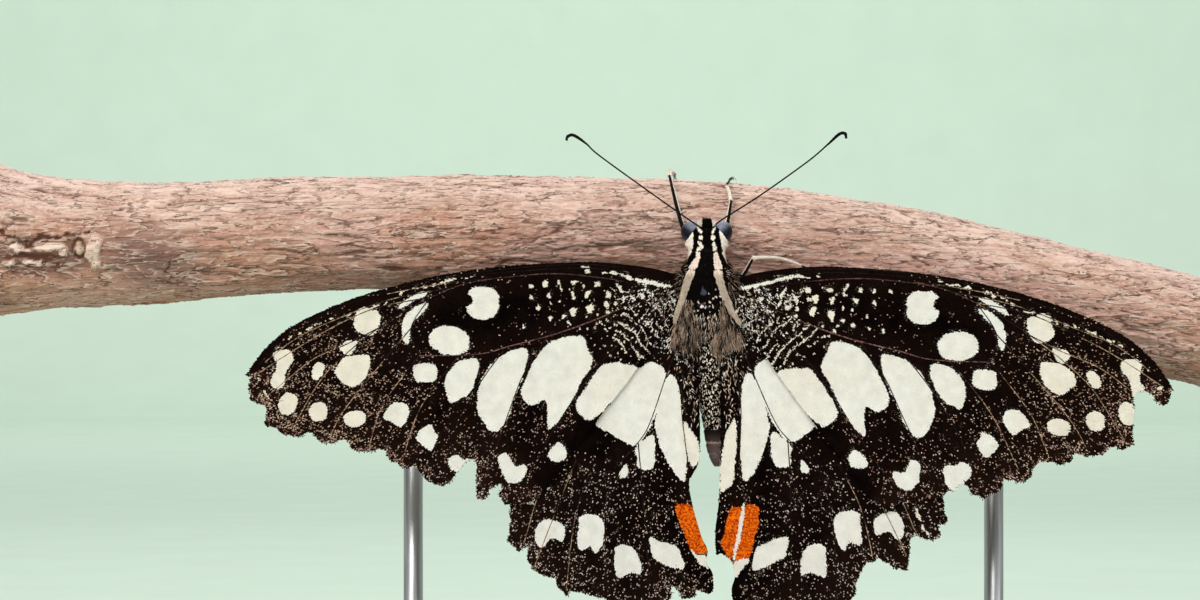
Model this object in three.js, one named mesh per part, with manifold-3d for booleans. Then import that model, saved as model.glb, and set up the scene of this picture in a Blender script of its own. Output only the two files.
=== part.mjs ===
// A lime swallowtail butterfly at life size, wings spread, gripping a cut length of branch that two rods
// hold over a flat base. Millimetres, +Z up. The origin is the centre of the base's underside. The
// butterfly's upper side faces -Y and its head points up.
import * as THREE from "three";
import { mergeVertices } from "three/addons/utils/BufferGeometryUtils.js";
import Module from "manifold-3d";

const wasm = await Module();
wasm.setup();

// ---- Driving dimensions -------------------------------------------------------------------------------
const GAP = 0.3; // between pieces that meet
const WING_THICKNESS = 0.5;
const WING_STACK = 0.9; // from the forewing's middle plane back to the hindwing's
const BUTTERFLY_Y = -8.3; // where the butterfly's own depth zero lies over the base
const PERCH_Y = 3; // the branch's axis
const BASE = { width: 100, depth: 56, height: 6, corner: 8, bevel: 1 };
const ROD = { radius: 1, x: 30, sink: 3 };

const SIDES = { left: -1, right: 1 };
const point = (x, y, z) => new THREE.Vector3(x, y, z);
const flat = ([s, t]) => new THREE.Vector2(s, t);

// ---- Materials ----------------------------------------------------------------------------------------
const finish = (color, roughness, metalness = 0) =>
  new THREE.MeshStandardMaterial({ color, roughness, metalness });
const MATERIALS = {
  wing: finish(0x1d1411, 0.85),
  body: finish(0x17110e, 0.9),
  eye: finish(0x4a4a5c, 0.35),
  feeler: finish(0x14100e, 0.6),
  leg: finish(0xb9a888, 0.7),
  branch: finish(0xa98474, 0.9),
  base: finish(0x2b2724, 0.5),
  rod: finish(0xb4b4b2, 0.35, 1),
};

// ---- Solids: booleans and closed meshes ---------------------------------------------------------------
function solid(geometry) {
  const bare = geometry.clone();
  bare.deleteAttribute("normal");
  bare.deleteAttribute("uv");
  const merged = mergeVertices(bare, 1e-5);
  return new wasm.Manifold(
    new wasm.Mesh({
      numProp: 3,
      vertProperties: merged.attributes.position.array,
      triVerts: new Uint32Array(merged.index.array),
    }),
  );
}

function geometryOf(shape) {
  const mesh = shape.getMesh();
  const geometry = new THREE.BufferGeometry();
  geometry.setAttribute("position", new THREE.BufferAttribute(mesh.vertProperties, 3));
  geometry.setIndex(new THREE.BufferAttribute(mesh.triVerts, 1));
  geometry.computeVertexNormals();
  return geometry;
}

// What is left of a shape outside its neighbours: the largest piece, without any cut-off sliver.
function trimmed(geometry, ...neighbours) {
  let shape = solid(geometry);
  for (const neighbour of neighbours) shape = shape.subtract(solid(neighbour));
  const pieces = shape.decompose();
  pieces.sort((a, b) => b.volume() - a.volume());
  return geometryOf(pieces[0]);
}

function signedVolume(positions, faces) {
  return faces.reduce((sum, [a, b, c]) => {
    const cross = positions[b].clone().cross(positions[c]);
    return sum + positions[a].dot(cross) / 6;
  }, 0);
}

// A closed mesh from its corners and triangles, turned so that its faces point out.
function closedMesh(positions, faces) {
  const turned = signedVolume(positions, faces) < 0 ? faces.map(([a, b, c]) => [a, c, b]) : faces;
  const geometry = new THREE.BufferGeometry().setFromPoints(positions);
  geometry.setIndex(turned.flat());
  geometry.computeVertexNormals();
  return geometry;
}

// A skin over a row of rings with the same number of corners, closed by a fan at each end.
function loft(rings) {
  const sides = rings[0].length;
  const positions = rings.flat();
  const faces = [];
  for (let r = 0; r + 1 < rings.length; r++) {
    for (let i = 0; i < sides; i++) {
      const a = r * sides + i;
      const b = r * sides + ((i + 1) % sides);
      faces.push([a, b, b + sides], [a, b + sides, a + sides]);
    }
  }
  for (const [first, way] of [[0, -1], [(rings.length - 1) * sides, 1]]) {
    const middle = positions.length;
    const ring = positions.slice(first, first + sides);
    positions.push(ring.reduce((sum, p) => sum.add(p), point(0, 0, 0)).divideScalar(sides));
    for (let i = 0; i < sides; i++) {
      const pair = [first + i, first + ((i + 1) % sides)];
      faces.push(way > 0 ? [middle, ...pair] : [middle, pair[1], pair[0]]);
    }
  }
  return closedMesh(positions, faces);
}

// A round tube along a curve, with a radius that changes from point to point of its list.
function tube(points, radii, { sides = 6, steps = points.length - 1, straight = false } = {}) {
  const curve = straight ? null : new THREE.CatmullRomCurve3(points, false, "centripetal");
  const count = straight ? points.length - 1 : steps;
  const centres = straight ? points : curve.getPoints(steps);
  let across = point(0, -1, 0.001);
  const rings = centres.map((centre, i) => {
    const before = centres[Math.max(i - 1, 0)];
    const after = centres[Math.min(i + 1, count)];
    const along = after.clone().sub(before).normalize();
    across = across.clone().addScaledVector(along, -across.dot(along)).normalize();
    const third = along.clone().cross(across);
    const place = (i / count) * (radii.length - 1);
    const low = Math.min(Math.floor(place), radii.length - 2);
    const radius = THREE.MathUtils.lerp(radii[low], radii[low + 1], place - low);
    return Array.from({ length: sides }, (_, k) => {
      const angle = (2 * Math.PI * k) / sides;
      return centre
        .clone()
        .addScaledVector(across, radius * Math.cos(angle))
        .addScaledVector(third, radius * Math.sin(angle));
    });
  });
  return loft(rings);
}

// Level oval rings from the top down, one for each station [z, x, y, half width, half depth].
function ovalLoft(stations, inflate = 0, sides = 14) {
  const last = stations.length - 1;
  return loft(
    stations.map(([z, x, y, halfWidth, halfDepth], i) => {
      const height = z + (i === 0 ? inflate : 0) - (i === last ? inflate : 0);
      return Array.from({ length: sides }, (_, k) => {
        const angle = (2 * Math.PI * k) / sides;
        return point(
          x + (halfWidth + inflate) * Math.cos(angle),
          y + (halfDepth + inflate) * Math.sin(angle),
          height,
        );
      });
    }),
  );
}

function ellipsoid(centre, radii, turn = 0, detail = [14, 10]) {
  const geometry = new THREE.SphereGeometry(1, ...detail);
  geometry.scale(...radii);
  geometry.rotateY(turn);
  geometry.translate(...centre);
  return geometry;
}

// ---- Body: head, thorax and abdomen -------------------------------------------------------------------
// Stations run from head to tail: [z, x, y, half width, half depth]. The abdomen swings to the right.
const HEAD = [
  [54.1, 0, 1.0, 0.5, 0.6],
  [53.7, 0, 1.0, 1.0, 1.1],
  [53.0, 0, 1.0, 1.45, 1.45],
  [52.2, 0, 1.0, 1.9, 1.55],
  [51.6, 0, 1.0, 2.1, 1.5],
  [51.2, 0, 1.0, 1.95, 1.35],
];
const THORAX = [
  [51.0, 0, 0.95, 1.85, 1.4],
  [50.2, 0, 0.9, 1.95, 1.8],
  [49.2, 0, 0.85, 2.3, 2.2],
  [48.2, 0, 0.8, 2.85, 2.6],
  [46.6, -0.03, 0.8, 3.05, 2.9],
  [44.8, -0.06, 0.85, 3.1, 2.85],
  [43.2, -0.05, 0.95, 2.7, 2.5],
  [42.0, 0, 1.05, 2.1, 2.1],
  [41.4, 0.02, 1.1, 1.7, 1.8],
];
const ABDOMEN = [
  [41.2, 0.03, 1.12, 1.65, 1.8],
  [40.0, 0.12, 1.2, 1.85, 2.0],
  [38.5, 0.28, 1.4, 1.8, 1.95],
  [37.0, 0.45, 1.58, 1.65, 1.8],
  [35.4, 0.62, 1.75, 1.4, 1.55],
  [33.8, 0.77, 1.92, 1.2, 1.35],
  [32.2, 0.9, 2.06, 1.08, 1.2],
  [31.0, 0.98, 2.16, 0.92, 1.05],
  [30.0, 1.03, 2.24, 0.62, 0.75],
  [29.3, 1.06, 2.28, 0.3, 0.35],
];
const SEGMENTS = { count: 8, groove: 0.05 };
const EYE = { x: 1.5, y: 1.15, z: 52.8, radii: [1.12, 1.25, 1.18], lean: 0.3 };

// The abdomen's stations with a shallow groove pressed in between its segments.
function segmented(stations, { count, groove }) {
  const nodes = stations.map(([z, x, y, wide, deep]) => [point(x, y, z), point(wide, deep, 0)]);
  const steps = 2 * count;
  return Array.from({ length: steps + 1 }, (_, i) => {
    const place = (i / steps) * (stations.length - 1);
    const low = Math.min(Math.floor(place), stations.length - 2);
    const [centre, halves] = [0, 1].map((k) => nodes[low][k].clone().lerp(nodes[low + 1][k], place - low));
    const pressed = i % 2 === 0 && i > 0 && i < steps ? 1 - groove : 1;
    return [centre.z, centre.x, centre.y, halves.x * pressed, halves.y * pressed];
  });
}

const eyeShape = (side, inflate = 0) =>
  ellipsoid([side * EYE.x, EYE.y, EYE.z], EYE.radii.map((r) => r + inflate), side * EYE.lean);

// ---- Wings --------------------------------------------------------------------------------------------
// Each outline is given in the wing's own plane, from its hinge: s outwards and t up. The costa is a
// wing's stiff front edge. The margin beyond it is worn and torn, on each side in its own way.
const FOREWING = {
  costa: [[-1.2, 0.2], [1.8, 1.0], [6.8, 1.55], [11.8, 1.45], [16.8, 1.1], [21.8, 0.4], [26.8, -0.7],
    [31.8, -2.25], [36.8, -4.5], [39.8, -6.8], [42.0, -9.7]],
  margin: {
    left: [[41.4, -9.8], [41.7, -10.8], [41.5, -11.6], [41.7, -12.2], [41.0, -12.3], [40.1, -12.7],
      [39.9, -13.4], [40.1, -14.3], [39.8, -14.8], [39.1, -14.8], [38.0, -15.6], [36.6, -15.8],
      [36.2, -15.5], [35.5, -15.3], [34.8, -16.1], [34.1, -16.4], [33.2, -16.4], [32.5, -16.0],
      [31.9, -16.0], [31.5, -16.8], [30.7, -17.2], [29.6, -17.3], [29.0, -17.1], [28.0, -17.1],
      [27.8, -17.9], [26.4, -18.8], [25.7, -18.9], [25.0, -18.6], [24.7, -19.0], [24.4, -19.6],
      [23.8, -20.1], [22.5, -20.6], [21.7, -20.4], [21.1, -19.3], [19.8, -18.1], [19.1, -17.9],
      [19.1, -20.0], [18.9, -21.8], [18.1, -21.9], [17.8, -21.1], [17.3, -20.6], [16.4, -20.2],
      [16.8, -21.6], [16.2, -22.4], [15.6, -22.4], [14.2, -22.5]],
    right: [[41.7, -10.3], [41.4, -11.3], [41.0, -11.5], [40.4, -10.8], [39.9, -10.3], [39.3, -9.9],
      [38.3, -10.3], [38.0, -10.8], [38.2, -11.4], [38.1, -13.6], [38.2, -15.3], [37.6, -15.4],
      [37.2, -15.8], [36.4, -15.6], [35.7, -15.6], [35.3, -16.2], [34.0, -16.5], [33.4, -16.4],
      [32.4, -16.2], [32.1, -16.9], [31.6, -17.2], [30.9, -17.4], [30.0, -17.1], [29.0, -17.1],
      [28.4, -17.6], [28.2, -18.6], [27.8, -19.0], [26.8, -19.2], [26.3, -18.9], [25.5, -19.0],
      [25.3, -19.7], [24.9, -20.2], [23.6, -20.8], [22.5, -20.4], [21.7, -19.5], [21.1, -19.6],
      [20.8, -20.0], [19.9, -20.3], [19.3, -20.7], [18.5, -21.1], [17.6, -20.9], [16.2, -21.6],
      [15.5, -21.3], [14.2, -22.2]],
  },
  inner: [[12.3, -21.2], [9.8, -17.7], [7.1, -14.2], [4.6, -11.0], [2.8, -8.6], [1.2, -6.2],
    [-0.2, -4.2], [-1.2, -3.0]],
};
const HINDWING = {
  costa: [[0.2, 0.9], [3.0, 0.9], [8.0, -1.2], [12.6, -5.2], [15.8, -9.8], [17.0, -13.5]],
  margin: {
    left: [[17.8, -17.2], [17.9, -21.2], [18.2, -22.2], [17.4, -22.8], [17.0, -23.2], [16.2, -22.7],
      [16.1, -23.9], [15.8, -24.8], [15.2, -25.4], [14.1, -25.6], [13.4, -25.8], [13.1, -26.7],
      [12.2, -27.6], [12.0, -27.1], [11.3, -27.1], [10.2, -27.4], [9.0, -27.9], [8.6, -27.7],
      [8.0, -28.5], [6.8, -29.2], [5.6, -28.9], [4.4, -29.2], [3.3, -29.5], [2.5, -28.9],
      [1.9, -27.6], [1.9, -26.6], [1.5, -26.7], [1.0, -27.2], [0.9, -27.9], [0.2, -27.8],
      [-0.5, -27.7], [-0.5, -27.0], [-1.0, -27.0]],
    right: [[19.1, -17.1], [19.9, -19.4], [19.8, -20.6], [20.1, -21.7], [19.9, -22.0], [19.2, -22.0],
      [19.3, -23.3], [18.8, -23.5], [17.7, -23.4], [17.1, -23.0], [16.4, -22.9], [16.0, -24.8],
      [15.7, -26.3], [14.6, -26.0], [13.8, -25.4], [13.0, -24.9], [11.8, -25.3], [11.1, -26.0],
      [10.7, -27.0], [10.4, -28.2], [9.6, -29.1], [8.7, -29.8], [7.6, -29.4], [6.2, -29.7],
      [4.5, -29.9], [3.7, -29.2], [2.0, -29.6], [0.7, -29.8], [0.0, -29.1]],
  },
  inner: {
    left: [[-1.9, -27.5], [-2.3, -26.8], [-2.2, -25.4], [-1.6, -24.4], [-1.7, -23.1], [-1.2, -22.0],
      [-0.7, -20.4], [-0.2, -18.5], [0.1, -16.2], [-0.8, -14.4], [-1.0, -12.0], [-0.9, -8.2],
      [-0.8, -4.0], [-0.3, -0.6]],
    right: [[-0.9, -28.7], [-1.5, -27.9], [-1.6, -26.7], [-1.2, -25.6], [-1.3, -24.0], [-2.3, -23.0],
      [-2.8, -23.0], [-2.7, -20.9], [-2.4, -19.4], [-2.1, -17.9], [-1.6, -14.0], [-1.3, -11.0],
      [-1.1, -8.2], [-0.8, -4.0], [-0.3, -0.6]],
  },
};
// The droop turns a wing about its hinge, tips down; reach lengthens it.
const SET = {
  forewing_left: { hinge: [3.9, 48.2], droop: 0, reach: 1 },
  forewing_right: { hinge: [4.0, 47.9], droop: 1.2, reach: 1.012 },
  hindwing_left: { hinge: [1.7, 44.2], droop: 0, reach: 1 },
  hindwing_right: { hinge: [1.7, 44.2], droop: -5, reach: 1.01 },
};
const CURVE_POINTS = 13; // along a costa, and along an inner edge
// The curved sheet that the outlines are cut from: how far it reaches out, and its rows of faces.
const SHEET = { reach: 48, steps: 9, low: 10, high: 56, cutter: 8 };

// How far a wing's middle plane stands from depth zero, arched a little from body to tip.
const sheetDepth = (x) => {
  const out = Math.max(Math.abs(x) - 3, 0);
  return -0.9 - 0.05 * out + 0.0011 * out * out;
};

// A sheet as thick as a wing that follows the arch on one side of the body.
function archedSheet(sign, back) {
  return loft(
    Array.from({ length: SHEET.steps + 1 }, (_, i) => {
      const x = (sign * SHEET.reach * i) / SHEET.steps - sign;
      const [front, rear] = [-1, 1].map((way) => sheetDepth(x) + back + (way * WING_THICKNESS) / 2);
      return [point(x, front, SHEET.low), point(x, rear, SHEET.low), point(x, rear, SHEET.high),
        point(x, front, SHEET.high)];
    }),
  );
}

function wingOutline(name, side) {
  const curve = (list) => new THREE.SplineCurve(list.map(flat)).getSpacedPoints(CURVE_POINTS);
  const { costa, margin, inner } = name.startsWith("fore") ? FOREWING : HINDWING;
  return [...curve(costa), ...margin[side].map(flat), ...curve(inner[side] ?? inner)];
}

function wingShape(name) {
  const side = name.endsWith("left") ? "left" : "right";
  const { hinge, droop, reach } = SET[name];
  const turn = THREE.MathUtils.degToRad(droop);
  const outline = wingOutline(name, side).map(({ x: s, y: t }) => {
    const out = reach * (s * Math.cos(turn) + t * Math.sin(turn));
    const up = reach * (t * Math.cos(turn) - s * Math.sin(turn));
    return flat([SIDES[side] * (hinge[0] + out), hinge[1] + up]);
  });
  const cutter = new THREE.ExtrudeGeometry(new THREE.Shape(outline), {
    depth: SHEET.cutter,
    bevelEnabled: false,
  });
  cutter.rotateX(Math.PI / 2);
  cutter.translate(0, SHEET.cutter / 2, 0);
  const sheet = archedSheet(SIDES[side], name.startsWith("fore") ? 0 : WING_STACK);
  return geometryOf(solid(sheet).intersect(solid(cutter)));
}

// ---- Feelers, mouthparts and legs ---------------------------------------------------------------------
// Points are [x, y, z] in the butterfly's own depth; a mirrored copy serves the other side where the pose
// is the same.
const ANTENNA = {
  left: [[0.5, 0.2, 53.2], [1.7, -0.1, 53.95], [5.7, -0.6, 56.75], [10.7, -1.0, 60.35], [12.1, -1.1, 61.6],
    [13.3, -1.15, 62.4], [13.9, -1.1, 62.3], [14.05, -1.0, 61.9]],
  right: [[0.5, 0.2, 53.2], [1.6, -0.1, 54.1], [5.3, -0.6, 56.45], [10.0, -1.0, 59.8], [12.0, -1.1, 61.5],
    [13.1, -1.15, 62.5], [13.7, -1.1, 62.6], [13.85, -1.0, 62.1]],
  radii: [0.25, 0.25, 0.25, 0.25, 0.27, 0.33, 0.3, 0.25],
};
const PALP = { points: [[0.4, 2.3, 52.4], [0.45, 2.75, 53.2], [0.42, 2.65, 53.8], [0.36, 2.25, 54.0]],
  radii: [0.38, 0.42, 0.36, 0.25] };
const PROBOSCIS = { centre: [0, 3.3, 52.3], radius: 0.8, halfWidth: 0.25, bore: 0.3 };

// Each leg: hip, knee, ankle, the bend of the foot and its claws.
const LEGS = {
  foreleg_left: [[-1.2, 2.6, 50.6], [-3.6, 6.3, 58.7], [-3.3, 9.0, 58.9], [-3.0, 11.4, 59.1],
    [-2.9, 13.6, 58.7]],
  foreleg_right: [[1.2, 2.6, 50.6], [2.6, 5.4, 56.1], [2.2, 7.6, 57.6], [2.7, 9.8, 58.5],
    [3.1, 12.0, 58.6]],
  midleg_left: [[-1.6, 3.2, 47.6], [-5.2, 3.6, 48.4], [-9.4, 5.6, 48.9], [-11.4, 6.1, 48.8],
    [-13.0, 6.3, 48.7]],
  midleg_right: [[1.6, 3.2, 47.2], [4.7, 3.2, 50.2], [9.7, 4.5, 49.5], [11.6, 5.1, 48.6],
    [13.2, 5.3, 47.8]],
  hindleg_left: [[-1.6, 3.2, 45.2], [-4.6, 5.6, 41.4], [-6.8, 8.2, 45.6], [-7.5, 9.6, 46.6],
    [-8.2, 11.2, 46.8]],
  hindleg_right: [[1.6, 3.2, 45.2], [4.6, 5.6, 41.4], [6.4, 8.2, 45.2], [7.2, 9.6, 46.1],
    [8.0, 11.2, 46.2]],
};
const LEG_RADII = [0.45, 0.38, 0.3, 0.27, 0.25];

function proboscisShape() {
  const { centre, radius, halfWidth, bore } = PROBOSCIS;
  const profile = [[bore, -halfWidth], [radius, -halfWidth], [radius, halfWidth], [bore, halfWidth],
    [bore, -halfWidth]];
  const coil = new THREE.LatheGeometry(profile.map(flat), 16);
  coil.rotateZ(Math.PI / 2);
  coil.translate(...centre);
  return coil;
}

// ---- Perch and stand ----------------------------------------------------------------------------------
// The branch: [x, z, radius] along its length, cut square at both ends. A knot swells the left end.
const BRANCH = [
  [-74, 52.3, 8.2], [-70.6, 52.0, 7.4], [-66, 51.9, 6.75], [-57, 52.0, 6.35], [-49, 52.4, 6.1],
  [-38, 52.8, 5.9], [-21, 53.0, 5.85], [0, 52.5, 5.85], [20, 49.9, 5.8], [53, 42.4, 5.7],
];
const BRANCH_MESH = { sides: 24, steps: 40 };
const branchCurve = new THREE.CatmullRomCurve3(BRANCH.map(([x, z, radius]) => point(x, radius, z)));

// The branch's axis height and radius at x.
function branchAt(x) {
  const nodes = branchCurve.getPoints(200);
  let next = 1;
  while (next < nodes.length - 1 && nodes[next].x < x) next++;
  const [a, b] = [nodes[next - 1], nodes[next]];
  const { y: radius, z } = a.clone().lerp(b, (x - a.x) / (b.x - a.x));
  return { z, radius };
}

function branchShape(inflate = 0) {
  const { sides, steps } = BRANCH_MESH;
  const [start, end] = [BRANCH[0][0], BRANCH[BRANCH.length - 1][0]];
  return loft(
    Array.from({ length: steps + 1 }, (_, i) => {
      const x = THREE.MathUtils.lerp(start, end, i / steps);
      const { z, radius } = branchAt(x);
      return Array.from({ length: sides }, (_, k) => {
        const angle = (2 * Math.PI * k) / sides;
        const reach = radius + inflate;
        return point(x, PERCH_Y + reach * Math.cos(angle), z + reach * Math.sin(angle));
      });
    }),
  );
}

function rodShape(side, inflate = 0) {
  const top = branchAt(side * ROD.x).z;
  const bottom = BASE.height - ROD.sink - inflate;
  const rod = new THREE.CylinderGeometry(ROD.radius + inflate, ROD.radius + inflate, top - bottom, 16);
  rod.rotateX(Math.PI / 2);
  rod.translate(side * ROD.x, PERCH_Y, (top + bottom) / 2);
  return rod;
}

function baseShape() {
  const { width, depth, height, corner, bevel } = BASE;
  const [w, d] = [width / 2 - bevel, depth / 2 - bevel];
  const r = corner - bevel;
  const outline = new THREE.Shape();
  outline.moveTo(-w + r, -d);
  outline.lineTo(w - r, -d);
  outline.absarc(w - r, -d + r, r, -Math.PI / 2, 0);
  outline.absarc(w - r, d - r, r, 0, Math.PI / 2);
  outline.absarc(-w + r, d - r, r, Math.PI / 2, Math.PI);
  outline.absarc(-w + r, -d + r, r, Math.PI, 1.5 * Math.PI);
  const plate = new THREE.ExtrudeGeometry(outline, {
    depth: height - 2 * bevel,
    bevelThickness: bevel,
    bevelSize: bevel,
    bevelSegments: 1,
    curveSegments: 6,
  });
  plate.translate(0, 0, bevel);
  return plate;
}

// ---- The scene graph ----------------------------------------------------------------------------------
const root = new THREE.Group();
const butterfly = new THREE.Group();
butterfly.position.y = BUTTERFLY_Y;
root.add(butterfly);

function add(group, name, geometry, material) {
  const mesh = new THREE.Mesh(geometry, material);
  mesh.name = name;
  group.add(mesh);
}

const own = (geometry) => geometry.clone().translate(0, -BUTTERFLY_Y, 0);
const mirrored = (list, side) => list.map(([x, y, z]) => point(side * x, y, z));

const headZone = ovalLoft(HEAD, GAP);
const thoraxZone = ovalLoft(THORAX, GAP);
const abdomenZone = ovalLoft(ABDOMEN, GAP);
const branchZone = own(branchShape(GAP));

add(butterfly, "head", trimmed(ovalLoft(HEAD), eyeShape(-1, GAP), eyeShape(1, GAP)), MATERIALS.body);
add(butterfly, "thorax", ovalLoft(THORAX), MATERIALS.body);
add(butterfly, "abdomen", ovalLoft(segmented(ABDOMEN, SEGMENTS)), MATERIALS.body);

const palpZones = [];
for (const [side, sign] of Object.entries(SIDES)) {
  add(butterfly, "eye_" + side, eyeShape(sign), MATERIALS.eye);
  const feeler = tube(mirrored(ANTENNA[side], sign), ANTENNA.radii, { steps: 16 });
  add(butterfly, "antenna_" + side, trimmed(feeler, headZone, eyeShape(sign, GAP)), MATERIALS.feeler);
  const palp = (extra) => tube(mirrored(PALP.points, sign), PALP.radii.map((r) => r + extra), { steps: 5 });
  palpZones.push(palp(GAP));
  add(butterfly, "palp_" + side, trimmed(palp(0), headZone, eyeShape(sign, GAP)), MATERIALS.body);
}
add(butterfly, "proboscis", trimmed(proboscisShape(), headZone, ...palpZones), MATERIALS.feeler);

for (const name of Object.keys(SET)) {
  add(butterfly, name, trimmed(wingShape(name), thoraxZone, abdomenZone), MATERIALS.wing);
}
for (const [name, joints] of Object.entries(LEGS)) {
  const leg = tube(mirrored(joints, 1), LEG_RADII, { straight: true });
  add(butterfly, name, trimmed(leg, thoraxZone, headZone, branchZone), MATERIALS.leg);
}

add(root, "perch", branchShape(), MATERIALS.branch);
const sockets = [-1, 1].map((side) => rodShape(side, GAP));
add(root, "stand_base", trimmed(baseShape(), ...sockets), MATERIALS.base);
for (const [side, sign] of Object.entries(SIDES)) {
  add(root, "stand_rod_" + side, trimmed(rodShape(sign), branchShape(GAP)), MATERIALS.rod);
}

export default root;
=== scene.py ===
import math

import bpy
import numpy as np
from mathutils import Matrix, Vector
from mathutils.geometry import delaunay_2d_cdt
from mathutils.kdtree import KDTree


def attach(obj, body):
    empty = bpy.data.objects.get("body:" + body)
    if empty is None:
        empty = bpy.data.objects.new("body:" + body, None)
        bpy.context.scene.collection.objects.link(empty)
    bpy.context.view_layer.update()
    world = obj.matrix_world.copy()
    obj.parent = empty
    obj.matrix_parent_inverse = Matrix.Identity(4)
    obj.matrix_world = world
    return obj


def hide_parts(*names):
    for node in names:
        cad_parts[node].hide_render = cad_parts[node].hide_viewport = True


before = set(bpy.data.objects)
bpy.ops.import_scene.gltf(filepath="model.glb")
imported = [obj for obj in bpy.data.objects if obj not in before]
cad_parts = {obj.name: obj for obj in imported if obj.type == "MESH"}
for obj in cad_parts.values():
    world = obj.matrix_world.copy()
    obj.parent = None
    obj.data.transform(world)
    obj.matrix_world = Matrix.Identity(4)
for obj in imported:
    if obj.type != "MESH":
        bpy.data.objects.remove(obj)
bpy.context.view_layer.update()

MM = 0.001

# ---- Driving sizes, as in the CAD model ---------------------------------------------------------------
BUTTERFLY_Y = -8.3
WING_STACK = 0.45
PERCH_Y = 3.0
ROD = {"radius": 1.0, "x": 30.0}
BASE = {"width": 100.0, "depth": 56.0, "height": 6.0, "corner": 8.0, "bevel": 1.0}


# ---- Noise --------------------------------------------------------------------------------------------
def lattice(cells, seed):
    """A random number from 0 to 1 for each row of whole numbers."""
    mixed = np.full(len(cells), seed * 7919 + 17, dtype=np.uint32)
    for column in np.asarray(cells).T:
        mixed = (mixed ^ column.astype(np.int64).astype(np.uint32)) * np.uint32(2654435761)
        mixed = mixed ^ (mixed >> np.uint32(15))
    return mixed / 2.0**32


def noise(places, size, seed):
    """Smooth noise from 0 to 1, in blobs about size across, at rows of two or three coordinates."""
    scaled = np.asarray(places, dtype=float) / size
    low = np.floor(scaled).astype(np.int64)
    part = scaled - low
    part = part * part * (3 - 2 * part)
    total = np.zeros(len(scaled))
    for corner in np.ndindex(*(2,) * scaled.shape[1]):
        weight = np.prod(np.where(corner, part, 1 - part), axis=1)
        total += weight * lattice(low + np.array(corner), seed)
    return total


def rough(places, size, seed, octaves=3):
    """Noise from about -1 to 1 with finer and finer blobs."""
    return sum((2 * noise(places, size / 2**k, seed + k) - 1) / 2**k for k in range(octaves))


def smooth(low, high, value):
    """0 below low, 1 above high, with a soft step between; low may be the larger one."""
    share = np.clip((value - low) / (high - low), 0, 1)
    return share * share * (3 - 2 * share)


# ---- Lines and outlines in a plane or in space --------------------------------------------------------
def spline(points, steps, closed=False):
    """A smooth line through points, with steps points from each one to the next."""
    points = np.asarray(points, dtype=float)
    count = len(points)
    spans = count if closed else count - 1
    share = np.linspace(0, 1, steps, endpoint=False)[:, None]
    runs = []
    for k in range(spans):
        if closed:
            a, b, c, d = (points[(k + j) % count] for j in (-1, 0, 1, 2))
        else:
            a, b, c, d = (points[min(max(k + j, 0), count - 1)] for j in (-1, 0, 1, 2))
        runs.append(
            b
            + 0.5 * share * (c - a)
            + share**2 * (a - 2.5 * b + 2 * c - 0.5 * d)
            + share**3 * (1.5 * (b - c) + 0.5 * (d - a))
        )
    if not closed:
        runs.append(points[-1:])
    return np.concatenate(runs)


def even(points, pitch):
    """The same line with points one pitch apart."""
    lengths = np.r_[0, np.cumsum(np.linalg.norm(np.diff(points, axis=0), axis=1))]
    count = max(int(lengths[-1] / pitch), 2)
    at = np.linspace(0, lengths[-1], count + 1)
    return np.stack([np.interp(at, lengths, column) for column in points.T], axis=1)


def line_distance(places, points):
    """How far each place is from a line through points, and how far along the line, from 0 to 1."""
    nearest = np.full(len(places), 1e9)
    along = np.zeros(len(places))
    spans = len(points) - 1
    for k in range(spans):
        start = points[k]
        edge = points[k + 1] - start
        share = np.clip((places - start) @ edge / max(edge @ edge, 1e-12), 0, 1)
        distance = np.linalg.norm(places - start - share[:, None] * edge, axis=1)
        closer = distance < nearest
        nearest = np.where(closer, distance, nearest)
        along = np.where(closer, (k + share) / spans, along)
    return nearest, along


# ---- Spots: each one is a function that gives a place's distance outside it, less than 0 inside -------
FAR = 9.0


def near_box(places, line):
    """Which places lie in a line's box or within a millimetre of it."""
    return np.all((places > line.min(0) - 1) & (places < line.max(0) + 1), axis=1)


def inside(places, outline):
    """Which places lie inside a closed outline."""
    result = np.zeros(len(places), dtype=bool)
    for a, b in zip(outline, np.roll(outline, -1, axis=0)):
        level = np.flatnonzero((a[1] > places[:, 1]) != (b[1] > places[:, 1]))
        if len(level):
            crossing = a[0] + (places[level, 1] - a[1]) / (b[1] - a[1]) * (b[0] - a[0])
            result[level] ^= places[level, 0] < crossing
    return result


def blob(*corners):
    """A rounded patch whose outline runs smoothly through its corners."""
    outline = spline(corners, 4, closed=True)

    def distance(places):
        result = np.full(len(places), FAR)
        close = near_box(places, outline)
        spot = places[close]
        edges, _ = line_distance(spot, np.concatenate([outline, outline[:1]]))
        result[close] = np.where(inside(spot, outline), -edges, edges)
        return result

    return distance


def oval(s, t, half_s, half_t, turn=0.0, power=2.5):
    """A patch from round to box-like, turned by degrees."""
    angle = math.radians(turn)

    def distance(places):
        u, v = places[:, 0] - s, places[:, 1] - t
        along = np.abs(u * math.cos(angle) + v * math.sin(angle)) / half_s
        across = np.abs(v * math.cos(angle) - u * math.sin(angle)) / half_t
        return ((along**power + across**power) ** (1 / power) - 1) * min(half_s, half_t)

    return distance


def streak(width, *points):
    """A line that is widest in its middle and thins out to both ends."""
    path = spline(points, 4)

    def distance(places):
        result = np.full(len(places), FAR)
        close = near_box(places, path)
        apart, along = line_distance(places[close], path)
        result[close] = apart - width / 2 * np.sqrt(np.clip(1.1 - (2 * along - 1) ** 2, 0, 1))
        return result

    return distance


def cut(patch, *bites):
    """A patch without what its bites cover."""

    def distance(places):
        return np.maximum.reduce([patch(places)] + [-bite(places) for bite in bites])

    return distance


def joined_distance(spots, places):
    return np.minimum.reduce([spot(places) for spot in spots])


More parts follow.
